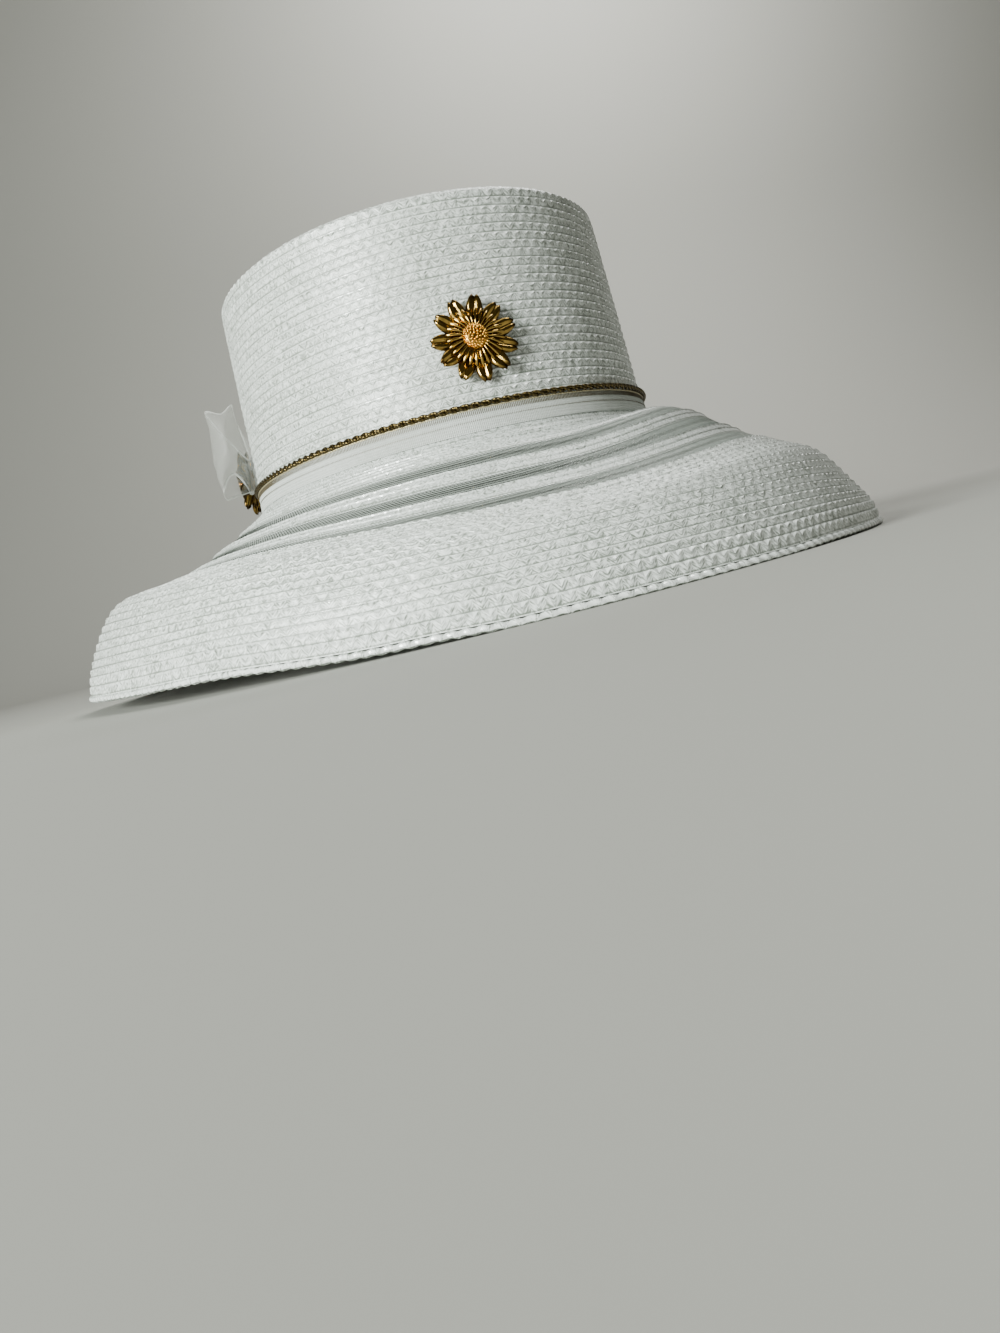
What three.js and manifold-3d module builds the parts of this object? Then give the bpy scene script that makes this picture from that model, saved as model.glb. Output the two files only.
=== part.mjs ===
// A woman's dress hat of white plaited braid: a tall oval crown, a brim that turns down to a bell,
// three see-through bands let into the brim, a ribbon and a twisted gold cord round the crown, a
// gold daisy brooch on the front, and a sheer bow with a second daisy at the back left.
// Millimetres, +Z up. The front faces -Y. The origin is on the table under the middle of the rim.

import * as THREE from "three";
import { mergeVertices } from "three/addons/utils/BufferGeometryUtils.js";
import Module from "manifold-3d";

const wasm = await Module();
wasm.setup();

// Driving dimensions

const SEGMENTS = 60; // round the oval
const GAP = 0.3; // between neighbouring pieces
const WALL = 1.6; // plaited braid, with its overlap
const SHEER_WALL = 1.0;
const SHEER_SINK = 0.5; // how far a see-through band lies below the braid beside it

const CROWN = {
  footHalfWidth: 84.5,
  footHalfLength: 103.2,
  topHalfWidth: 81.0,
  topHalfLength: 93.4,
  footHeight: 65.2,
  topHeight: 149.5,
  cornerRadius: 3.2,
  tipDome: 1.8, // the flat tip rises this much to its middle
};

const RIM = {
  halfWidth: 170.3,
  halfLength: 177.0,
  squareness: 1.88, // 2 is a true ellipse
  rollHeight: 2.2,
  rollThickness: 2.2,
  rollProud: 0.3,
  rollFlat: 1.5, // width of the roll's flat underside
};

// The brim's section from the crown's foot to the rim: how far out, as a share of the way, and how high
const BRIM_SECTION = [
  { out: 0.0, height: 64.9 },
  { out: 0.035, height: 61.6 },
  { out: 0.09, height: 58.4 },
  { out: 0.16, height: 55.0 },
  { out: 0.28, height: 49.0 },
  { out: 0.45, height: 40.6 },
  { out: 0.62, height: 35.8 },
  { out: 0.78, height: 31.6 },
  { out: 0.9, height: 21.6 },
  { out: 0.97, height: 11.2 },
  { out: 1.0, height: 0.0 },
];

// How far the soft rim is lifted off the table. Azimuth 0 is the front and 90 the hat's +X side.
// The rim lies on the table wherever its lift is below zero.
const RIM_WAVES = [
  { azimuth: 0, lift: -0.8 },
  { azimuth: 15, lift: -0.6 },
  { azimuth: 35, lift: 0.4 },
  { azimuth: 62, lift: 0.2 },
  { azimuth: 90, lift: -0.8 },
  { azimuth: 112, lift: 0.8 },
  { azimuth: 140, lift: 3.4 },
  { azimuth: 180, lift: 1.6 },
  { azimuth: 222, lift: -0.8 },
  { azimuth: 250, lift: 2.2 },
  { azimuth: 280, lift: 4.8 },
  { azimuth: 315, lift: 4.6 },
  { azimuth: 340, lift: 1.0 },
];

// Where the brim swells up from its section, or dips for a negative lift. Spread is in degrees to
// each side of the azimuth; from, peak and to are shares of the way out.
const BRIM_SWELLS = [
  { azimuth: 50, spread: 46, from: 0.0, peak: 0.22, to: 0.98, lift: 9.3 },
  { azimuth: -70, spread: 60, from: 0.2, peak: 0.66, to: 1.0, lift: 3.0 },
  { azimuth: -95, spread: 60, from: 0.6, peak: 0.82, to: 1.0, lift: 4.0 },
  { azimuth: 5, spread: 40, from: 0.42, peak: 0.68, to: 0.9, lift: -3.4 },
  { azimuth: 70, spread: 50, from: 0.76, peak: 0.92, to: 1.0, lift: -3.0 },
  { azimuth: -10, spread: 50, from: 0.0, peak: 0.15, to: 0.45, lift: 2.0 },
];

// Widths along the brim's section, from the crown outwards
const ROW = 3.2; // one row of braid
const COLLAR_WIDTH = 6 * ROW;
const SHEER_WIDTH = 7.8;
const STRIP_WIDTH = 2 * ROW + 0.5;

const RIBBON = { height: 6.5, thickness: 0.6, topHeight: 72.0 };
const CORD = { radius: 1.0, height: 73.35, sides: 6 };

const DAISY = {
  petals: 11,
  firstPetal: 11, // degrees from the flower's +X
  petalRoot: 3.6,
  petalTip: 15.6,
  petalHalfWidth: 3.1,
  petalThickness: 0.9,
  petalRise: 1.5, // from root to tip
  hubRadius: 5.4,
  ribs: 16,
  ribTip: 8.8,
  ribHeight: 1.3,
  ribDepth: 1.6, // how far the gaps between the ribs' tips reach in
  ribSink: 0.3, // how far the valleys lie below the crests
  ribTipBase: 0.4,
  ribTipHeight: 0.9,
  ribUnderEye: 1.4, // how far the ribs reach in under the eye
  eyeRadius: 4.3,
  eyeHeight: 2.2,
  pinLength: 18.0,
  pinWidth: 1.8,
  pinThickness: 1.0,
};
const BROOCH = { azimuth: 0, height: 95.0 };

const BOW = {
  azimuth: -110,
  height: 86.0, // of the knot
  knotHalfWidth: 5.5,
  knotHalfDepth: 1.9,
  knotHeight: 17.0,
  standOff: 2.8, // clear of the cord
  loopThickness: 1.0,
  steps: 22,
};
const SIDE_DAISY_HEIGHT = 84.0;

// One loop of the bow, in order round it: how far along the crown from the knot's middle, how far
// out from the wall, how tall the sheer cloth stands there, and how far its middle has risen
const BOW_LOOP = [
  { along: 6.8, out: 5.4, tall: 14, rise: 0 },
  { along: 14, out: 3.8, tall: 23, rise: 3 },
  { along: 28, out: 3.8, tall: 36, rise: 7 },
  { along: 40, out: 4.8, tall: 36, rise: 9 },
  { along: 47, out: 9.2, tall: 26, rise: 10 },
  { along: 42, out: 14.2, tall: 34, rise: 9 },
  { along: 28, out: 15.6, tall: 36, rise: 7 },
  { along: 14, out: 10.4, tall: 23, rise: 3 },
];

const COLOURS = {
  braid: { color: 0xdfe4e2, roughness: 0.45, metalness: 0.0 },
  sheer: { color: 0xb9bfba, roughness: 0.6, metalness: 0.0 },
  ribbon: { color: 0xe2e4e0, roughness: 0.55, metalness: 0.0 },
  gold: { color: 0xa8802c, roughness: 0.28, metalness: 1.0 },
  paleGold: { color: 0xd9b070, roughness: 0.4, metalness: 1.0 },
};

// Small helpers

const radians = THREE.MathUtils.degToRad;
const lerp = THREE.MathUtils.lerp;

/** How far the rim is lifted at an azimuth, smooth and without end round the hat. */
function rimLift(azimuth) {
  const turn = ((azimuth % 360) + 360) % 360;
  const count = RIM_WAVES.length;
  let i = count - 1;
  while (RIM_WAVES[i].azimuth > turn) i -= 1;
  const here = RIM_WAVES[i];
  const next = RIM_WAVES[(i + 1) % count];
  const share = (turn - here.azimuth) / ((next.azimuth - here.azimuth + 360) % 360);
  return Math.max(0, lerp(here.lift, next.lift, THREE.MathUtils.smoothstep(share, 0, 1)));
}

/** A soft bump: 1 in the middle, falling to 0 at a distance of 1 and beyond. */
function bump(distance) {
  return Math.abs(distance) < 1 ? Math.cos((Math.PI / 2) * distance) ** 2 : 0;
}

/** How far the brim swells up at an azimuth and a share of the way out. */
function brimSwell(azimuth, out) {
  let lift = 0;
  for (const swell of BRIM_SWELLS) {
    const turn = ((azimuth - swell.azimuth + 540) % 360) - 180;
    const reach = out < swell.peak ? swell.peak - swell.from : swell.to - swell.peak;
    lift += swell.lift * bump(turn / swell.spread) * bump((out - swell.peak) / reach);
  }
  return lift;
}

/** A point of an oval, by azimuth from the front. */
function ovalPoint(halfWidth, halfLength, squareness, azimuth, height) {
  const s = Math.sin(radians(azimuth));
  const c = -Math.cos(radians(azimuth));
  const power = 2 / squareness;
  const x = halfWidth * Math.sign(s) * Math.abs(s) ** power;
  const y = halfLength * Math.sign(c) * Math.abs(c) ** power;
  return new THREE.Vector3(x, y, height);
}

/**
 * A closed solid through rings of equally many points. Without poles the last ring joins the
 * first; with poles each end closes to its own point.
 */
function loft(rings, poles = null) {
  const size = rings[0].length;
  const points = rings.flat();
  const triangles = [];
  const bands = poles ? rings.length - 1 : rings.length;
  for (let i = 0; i < bands; i += 1) {
    const here = i * size;
    const there = ((i + 1) % rings.length) * size;
    for (let j = 0; j < size; j += 1) {
      const k = (j + 1) % size;
      triangles.push(here + j, there + j, there + k, here + j, there + k, here + k);
    }
  }
  if (poles) {
    const last = (rings.length - 1) * size;
    points.push(poles[0], poles[1]);
    for (let j = 0; j < size; j += 1) {
      const k = (j + 1) % size;
      triangles.push(points.length - 2, j, k);
      triangles.push(points.length - 1, last + k, last + j);
    }
  }
  const geometry = new THREE.BufferGeometry().setFromPoints(points);
  geometry.setIndex(triangles);
  return facingOut(geometry);
}

/** Turns a closed geometry's triangles over if they enclose a negative volume. */
function facingOut(geometry) {
  const index = geometry.getIndex();
  const position = geometry.getAttribute("position");
  const corner = [0, 1, 2].map(() => new THREE.Vector3());
  let volume = 0;
  for (let i = 0; i < index.count; i += 3) {
    corner.forEach((v, n) => v.fromBufferAttribute(position, index.getX(i + n)));
    volume += corner[0].dot(corner[1].clone().cross(corner[2]));
  }
  if (volume < 0) {
    for (let i = 0; i < index.count; i += 3) {
      const second = index.getX(i + 1);
      index.setX(i + 1, index.getX(i + 2));
      index.setX(i + 2, second);
    }
  }
  return geometry;
}

function toManifold(geometry) {
  const bare = new THREE.BufferGeometry();
  bare.setAttribute("position", geometry.getAttribute("position").clone());
  if (geometry.getIndex()) bare.setIndex(geometry.getIndex().clone());
  const merged = mergeVertices(bare, 1e-4);
  return new wasm.Manifold(new wasm.Mesh({
    numProp: 3,
    vertProperties: new Float32Array(merged.getAttribute("position").array),
    triVerts: new Uint32Array(merged.getIndex().array),
  }));
}

function fromManifold(solid) {
  const mesh = solid.getMesh();
  const geometry = new THREE.BufferGeometry();
  geometry.setAttribute("position", new THREE.BufferAttribute(mesh.vertProperties, 3));
  geometry.setIndex(new THREE.BufferAttribute(mesh.triVerts, 1));
  return geometry;
}

function named(name, geometry, look) {
  const mesh = new THREE.Mesh(geometry, new THREE.MeshStandardMaterial(COLOURS[look]));
  mesh.name = name;
  return mesh;
}

const azimuths = Array.from({ length: SEGMENTS }, (_, i) => (i * 360) / SEGMENTS);

// Crown

/** A point at some height on the crown's outer wall, moved outwards by offset. */
function wallPoint(azimuth, height, offset = 0) {
  const share = (height - CROWN.footHeight) / (CROWN.topHeight - CROWN.footHeight);
  const halfWidth = lerp(CROWN.footHalfWidth, CROWN.topHalfWidth, share) + offset;
  const halfLength = lerp(CROWN.footHalfLength, CROWN.topHalfLength, share) + offset;
  return ovalPoint(halfWidth, halfLength, 2, azimuth, height);
}

/** One face of the crown, from the foot up over the rounded corner to near the tip's middle. */
function crownRings(thickness) {
  const top = CROWN.topHeight - thickness;
  const radius = CROWN.cornerRadius - thickness / 2;
  const straight = top - radius;
  const rings = [];
  for (const share of [0, 0.5, 1]) {
    const height = lerp(CROWN.footHeight, straight, share);
    rings.push(azimuths.map((a) => wallPoint(a, height, -thickness)));
  }
  for (const turn of [45, 90]) {
    const inset = radius * (1 - Math.cos(radians(turn)));
    const height = straight + radius * Math.sin(radians(turn));
    rings.push(azimuths.map((a) => wallPoint(a, straight, -thickness - inset).setZ(height)));
  }
  const halfway = top + CROWN.tipDome * 0.75;
  rings.push(rings.at(-1).map((p) => new THREE.Vector3(p.x / 2, p.y / 2, halfway)));
  return rings;
}

function crown() {
  const outside = crownRings(0);
  const inside = crownRings(WALL);
  const poles = [CROWN.topHeight, CROWN.topHeight - WALL].map(
    (z) => new THREE.Vector3(0, 0, z + CROWN.tipDome),
  );
  return named("crown", loft([...outside.reverse(), ...inside], poles), "braid");
}

/** A band round the crown with a cross-section given as offset and height pairs. */
function wallRing(name, section, look) {
  const rings = azimuths.map((a) => section.map(([offset, height]) => wallPoint(a, height, offset)));
  return named(name, loft(rings), look);
}

function ribbonBand() {
  const { height, thickness, topHeight } = RIBBON;
  return wallRing("ribbon_band", [
    [GAP, topHeight - height],
    [GAP + thickness, topHeight - height],
    [GAP + thickness, topHeight],
    [GAP, topHeight],
  ], "ribbon");
}

function goldCord() {
  const section = Array.from({ length: CORD.sides }, (_, i) => {
    const turn = radians(((i + 0.5) * 360) / CORD.sides);
    const offset = GAP + CORD.radius * (1 + Math.cos(turn));
    return [offset, CORD.height + CORD.radius * Math.sin(turn)];
  });
  return wallRing("gold_cord", section, "gold");
}

// Brim

const SIDE_RUN = RIM.halfWidth - CROWN.footHalfWidth;
const ROOT_HEIGHT = BRIM_SECTION[0].height;
const brimCurve = new THREE.SplineCurve(
  BRIM_SECTION.map((row) => new THREE.Vector2(row.out * SIDE_RUN, row.height)),
);
const BRIM_LENGTH = brimCurve.getLength();

/** A point of the brim's upper surface, a distance along its section from the crown's foot. */
function brimPoint(azimuth, distance) {
  const share = THREE.MathUtils.clamp(distance / BRIM_LENGTH, 0, 1);
  const section = brimCurve.getPointAt(share);
  const out = section.x / SIDE_RUN;
  const root = ovalPoint(CROWN.footHalfWidth, CROWN.footHalfLength, 2, azimuth, 0);
  const rim = ovalPoint(RIM.halfWidth, RIM.halfLength, RIM.squareness, azimuth, 0);
  const point = root.lerp(rim, out);
  const sunk = 1 - section.y / ROOT_HEIGHT;
  point.z = section.y + rimLift(azimuth) * sunk + brimSwell(azimuth, out);
  return point;
}

/** The brim's upper surface moved along its own normal: down and inwards for a positive depth. */
function brimDepth(azimuth, distance, depth) {
  const step = 0.5;
  const near = Math.min(distance, BRIM_LENGTH - step);
  const along = brimPoint(azimuth, near + step).sub(brimPoint(azimuth, near));
  const across = brimPoint(azimuth + step, near).sub(brimPoint(azimuth - step, near));
  const normal = across.cross(along).normalize();
  if (normal.z > 0) normal.negate();
  return brimPoint(azimuth, distance).addScaledVector(normal, depth);
}

/** A ring of the brim between two distances, with its top and bottom at given depths. */
function brimRing(name, from, to, steps, look, top = 0, thickness = WALL) {
  const stations = Array.from({ length: steps + 1 }, (_, i) => {
    return lerp(from + GAP / 2, to - GAP / 2, i / steps);
  });
  const rings = azimuths.map((a) => [
    ...stations.map((d) => brimDepth(a, d, top)),
    ...stations.toReversed().map((d) => brimDepth(a, d, top + thickness)),
  ]);
  return named(name, loft(rings), look);
}

function brimEdge() {
  const { rollHeight, rollThickness, rollProud, rollFlat } = RIM;
  const middle = rollProud - rollThickness / 2;
  const section = [
    [rollProud, rollHeight / 2],
    [middle + rollFlat / 2, rollHeight],
    [middle - rollFlat / 2, rollHeight],
    [rollProud - rollThickness, rollHeight / 2],
    [middle - rollFlat / 2, 0],
    [middle + rollFlat / 2, 0],
  ];
  const rings = azimuths.map((a) => section.map(([offset, rise]) => {
    const point = ovalPoint(RIM.halfWidth + offset, RIM.halfLength + offset, RIM.squareness, a, 0);
    return point.setZ(brimPoint(a, BRIM_LENGTH).z + rise);
  }));
  return named("brim_edge", loft(rings), "braid");
}

function brimPieces() {
  const widths = [
    ["brim_collar", COLLAR_WIDTH, 3, "braid"],
    ["sheer_band_inner", SHEER_WIDTH, 1, "sheer"],
    ["braid_strip_inner", STRIP_WIDTH, 2, "braid"],
    ["sheer_band_middle", SHEER_WIDTH, 1, "sheer"],
    ["braid_strip_outer", STRIP_WIDTH, 2, "braid"],
    ["sheer_band_outer", SHEER_WIDTH, 1, "sheer"],
  ];
  let from = 0;
  const pieces = widths.map(([name, width, steps, look]) => {
    const [sink, thickness] = look === "sheer" ? [SHEER_SINK, SHEER_WALL] : [0, WALL];
    const to = from + width;
    const piece = brimRing(name, from, to, steps, look, sink, thickness);
    from = to;
    return piece;
  });
  const brimEnd = BRIM_LENGTH - RIM.rollHeight - GAP;
  pieces.push(brimRing("brim", from, brimEnd, 7, "braid"), brimEdge());
  return pieces;
}

// Daisies

/** One petal along +X: two lobes with a groove between them, and a notch at the tip. */
function petal() {
  const { petalRoot, petalTip, petalHalfWidth, petalThickness, petalRise } = DAISY;
  const stations = [
    { along: 0.0, width: 0.34, notch: 0.0, swell: 0.5 },
    { along: 0.4, width: 0.78, notch: 0.0, swell: 1.0 },
    { along: 0.78, width: 1.0, notch: 0.0, swell: 1.0 },
    { along: 1.0, width: 0.55, notch: 0.1, swell: 0.6 },
  ];
  const length = petalTip - petalRoot;
  const rings = stations.map(({ along, width, notch, swell }) => {
    const x = petalRoot + length * along;
    const half = petalHalfWidth * width;
    const base = petalRise * along;
    const crest = base + petalThickness * (1 + swell);
    const groove = base + petalThickness;
    return [
      [x, -half, groove],
      [x, -half / 2, crest],
      [x - length * notch, 0, groove],
      [x, half / 2, crest],
      [x, half, groove],
      [x - length * notch, 0, base],
    ].map((p) => new THREE.Vector3(...p));
  });
  const poles = [rings[0], rings.at(-1)].map((ring) => {
    return new THREE.Vector3((ring[0].x + ring[2].x) / 2, 0, (ring[2].z + ring[5].z) / 2);
  });
  return loft(rings, poles);
}

function daisyPetals() {
  const hub = new THREE.CylinderGeometry(DAISY.hubRadius, DAISY.hubRadius, DAISY.petalThickness, 22);
  hub.rotateX(Math.PI / 2).translate(0, 0, DAISY.petalThickness / 2);
  let whole = toManifold(hub);
  for (let i = 0; i < DAISY.petals; i += 1) {
    const turned = petal().rotateZ(radians((i * 360) / DAISY.petals + DAISY.firstPetal));
    whole = whole.add(toManifold(turned));
  }
  return fromManifold(whole);
}

/** The ring of slender inner petals, as a toothed collar. */
function daisyFlorets() {
  const { ribs, ribTip, ribHeight, ribDepth, ribSink, ribTipBase, ribTipHeight } = DAISY;
  const inner = DAISY.eyeRadius - DAISY.ribUnderEye;
  const rings = Array.from({ length: 2 * ribs }, (_, i) => {
    const valley = i % 2;
    const turn = radians((i * 180) / ribs);
    const tip = ribTip - valley * ribDepth;
    const section = [
      [inner, 0],
      [tip, ribTipBase],
      [tip, ribTipHeight - valley * ribSink],
      [inner, ribHeight - valley * ribSink],
    ];
    return section.map(([r, z]) => new THREE.Vector3(r * Math.cos(turn), r * Math.sin(turn), z));
  });
  return loft(rings);
}

function daisyEye() {
  const { eyeRadius, eyeHeight } = DAISY;
  const profile = [[0, 0], [1, 0], [1, 0.35], [0.8, 0.72], [0.45, 0.94], [0, 1]];
  const points = profile.map(([r, h]) => new THREE.Vector2(r * eyeRadius, h * eyeHeight));
  return new THREE.LatheGeometry(points, 16).rotateX(Math.PI / 2);
}

/** A daisy facing +Z with its pin at the back: four pieces in a group. */
function daisy(prefix) {
  const { pinWidth, pinLength, pinThickness, petalThickness, petalRise, ribHeight } = DAISY;
  const pin = new THREE.BoxGeometry(pinWidth, pinLength, pinThickness);
  const layers = [
    [named(`${prefix}_pin`, pin, "gold"), pinThickness / 2],
    [named(`${prefix}_petals`, daisyPetals(), "gold"), pinThickness + GAP],
  ];
  const petalTop = pinThickness + GAP + 2 * petalThickness + petalRise / 2;
  layers.push([named(`${prefix}_florets`, daisyFlorets(), "gold"), petalTop + GAP]);
  layers.push([named(`${prefix}_eye`, daisyEye(), "paleGold"), petalTop + ribHeight + 2 * GAP]);
  const group = new THREE.Group();
  for (const [mesh, height] of layers) {
    mesh.position.z = height;
    group.add(mesh);
  }
  return group;
}

/** Places a group on the crown's wall: its +Z points out and its +Y up the wall. */
function pinned(group, azimuth, height, standOff) {
  const here = wallPoint(azimuth, height);
  const up = wallPoint(azimuth, height + 1).sub(here).normalize();
  const side = wallPoint(azimuth + 1, height).sub(wallPoint(azimuth - 1, height)).normalize();
  const out = side.clone().cross(up).normalize();
  const basis = new THREE.Matrix4().makeBasis(side, out.clone().cross(side), out);
  group.quaternion.setFromRotationMatrix(basis);
  group.position.copy(here).addScaledVector(out, standOff);
  return group;
}

// Sheer bow

/** The crown's girth that one degree of azimuth covers at the knot. */
function girthPerDegree() {
  const here = wallPoint(BOW.azimuth, BOW.height);
  return wallPoint(BOW.azimuth + 1, BOW.height).distanceTo(here);
}

/** One loop of the bow, a closed strip of sheer cloth; side is 1 towards the front, -1 back. */
function bowLoop(name, side) {
  const route = new THREE.CatmullRomCurve3(
    BOW_LOOP.map((row) => new THREE.Vector3(row.along, row.out, 0)), true, "centripetal");
  const edges = new THREE.CatmullRomCurve3(
    BOW_LOOP.map((row) => new THREE.Vector3(row.tall, row.rise, 0)), true, "centripetal");
  const perDegree = girthPerDegree();
  const rings = Array.from({ length: BOW.steps }, (_, i) => {
    const share = i / BOW.steps;
    const at = route.getPoint(share);
    const across = route.getTangent(share).multiplyScalar(BOW.loopThickness / 2);
    const { x: tall, y: rise } = edges.getPoint(share);
    return [[1, 1], [-1, 1], [-1, -1], [1, -1]].map(([face, edge]) => {
      const along = side * (at.x - face * across.y);
      const out = at.y + face * across.x;
      const height = BOW.height + rise + (edge * tall) / 2;
      return wallPoint(BOW.azimuth + along / perDegree, height, out);
    });
  });
  return named(name, loft(rings), "sheer");
}

function bowKnot() {
  const { knotHalfWidth, knotHalfDepth, knotHeight } = BOW;
  const half = knotHeight / 2;
  const profile = [[0, -1], [0.8, -1], [1, -0.5], [1, 0.5], [0.8, 1], [0, 1]];
  const points = profile.map(([r, h]) => new THREE.Vector2(r * knotHalfWidth, h * half));
  const barrel = new THREE.LatheGeometry(points, 12);
  barrel.scale(1, 1, knotHalfDepth / knotHalfWidth);
  const group = new THREE.Group();
  group.add(named("bow_knot", barrel, "sheer"));
  return pinned(group, BOW.azimuth, BOW.height, BOW.standOff + knotHalfDepth);
}

// The whole hat

const group = new THREE.Group();
group.add(crown(), ribbonBand(), goldCord(), ...brimPieces());
group.add(pinned(daisy("brooch"), BROOCH.azimuth, BROOCH.height, GAP));
group.add(bowLoop("bow_loop_front", 1), bowLoop("bow_loop_back", -1), bowKnot());
const daisyStandOff = BOW.standOff + 2 * BOW.knotHalfDepth + GAP;
group.add(pinned(daisy("side"), BOW.azimuth, SIDE_DAISY_HEIGHT, daisyStandOff));

export default group;
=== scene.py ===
"""The looks of a woman's dress hat of white sewn braid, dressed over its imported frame.

Every row of plait, every thread of the see-through bands, the ladder of the ribbon, the twist of
the gold cord and each petal and seed of the daisies is real geometry. Sizes are in millimetres
until a mesh is made; the hat's front faces -Y and azimuth 90 is its +X side.
"""

import logging
import math
from dataclasses import dataclass, replace
from enum import Enum
from typing import Callable, Sequence

import bpy
import numpy as np
from mathutils import Matrix, Vector


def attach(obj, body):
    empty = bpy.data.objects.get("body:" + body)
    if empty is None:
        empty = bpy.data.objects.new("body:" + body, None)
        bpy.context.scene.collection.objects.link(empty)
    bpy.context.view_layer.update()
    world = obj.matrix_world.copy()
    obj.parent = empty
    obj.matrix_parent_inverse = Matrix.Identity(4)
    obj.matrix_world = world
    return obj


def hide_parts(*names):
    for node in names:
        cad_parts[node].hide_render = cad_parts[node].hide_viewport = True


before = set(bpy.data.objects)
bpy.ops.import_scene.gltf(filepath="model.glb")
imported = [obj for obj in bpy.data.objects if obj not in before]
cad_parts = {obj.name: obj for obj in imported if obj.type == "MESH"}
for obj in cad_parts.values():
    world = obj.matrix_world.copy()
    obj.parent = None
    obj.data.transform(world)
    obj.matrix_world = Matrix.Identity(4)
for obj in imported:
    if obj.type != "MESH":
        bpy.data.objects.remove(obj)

log = logging.getLogger("dress_hat")

MM = 0.001

# Steps at which a ring round the hat is measured, four to a degree.
RING_STEPS = 1440

# Edges sharper than this many degrees stay sharp, in each kind of piece.
BRAID_EDGE, THREAD_EDGE, METAL_EDGE = 24, 80, 45

# Corners of a box's faces: its inner four are 0 to 3 and its outer four 4 to 7.
BOX_FACES = ((3, 2, 1, 0), (4, 5, 6, 7), (0, 1, 5, 4), (1, 2, 6, 5), (2, 3, 7, 6), (3, 0, 4, 7))

# A surface takes azimuths in degrees and distances in millimetres and gives points.
Surface = Callable[[np.ndarray, np.ndarray], np.ndarray]


class Slot(Enum):
    """The record's material slots."""

    BRAID = "white_braid"
    NET = "sheer_mesh"
    RIBBON = "white_ribbon"
    THREAD = "gold_thread"
    ORGANZA = "sheer_cloth"
    DARK_GOLD = "dark_gold"
    PALE_GOLD = "pale_gold"


# Form of the hat


@dataclass(frozen=True)
class Swell:
    """A place where the brim rises from its section, or dips for a negative lift.

    Spread is in degrees to each side; start, peak and end are shares of the way out.
    """

    azimuth: float
    spread: float
    start: float
    peak: float
    end: float
    lift: float


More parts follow.
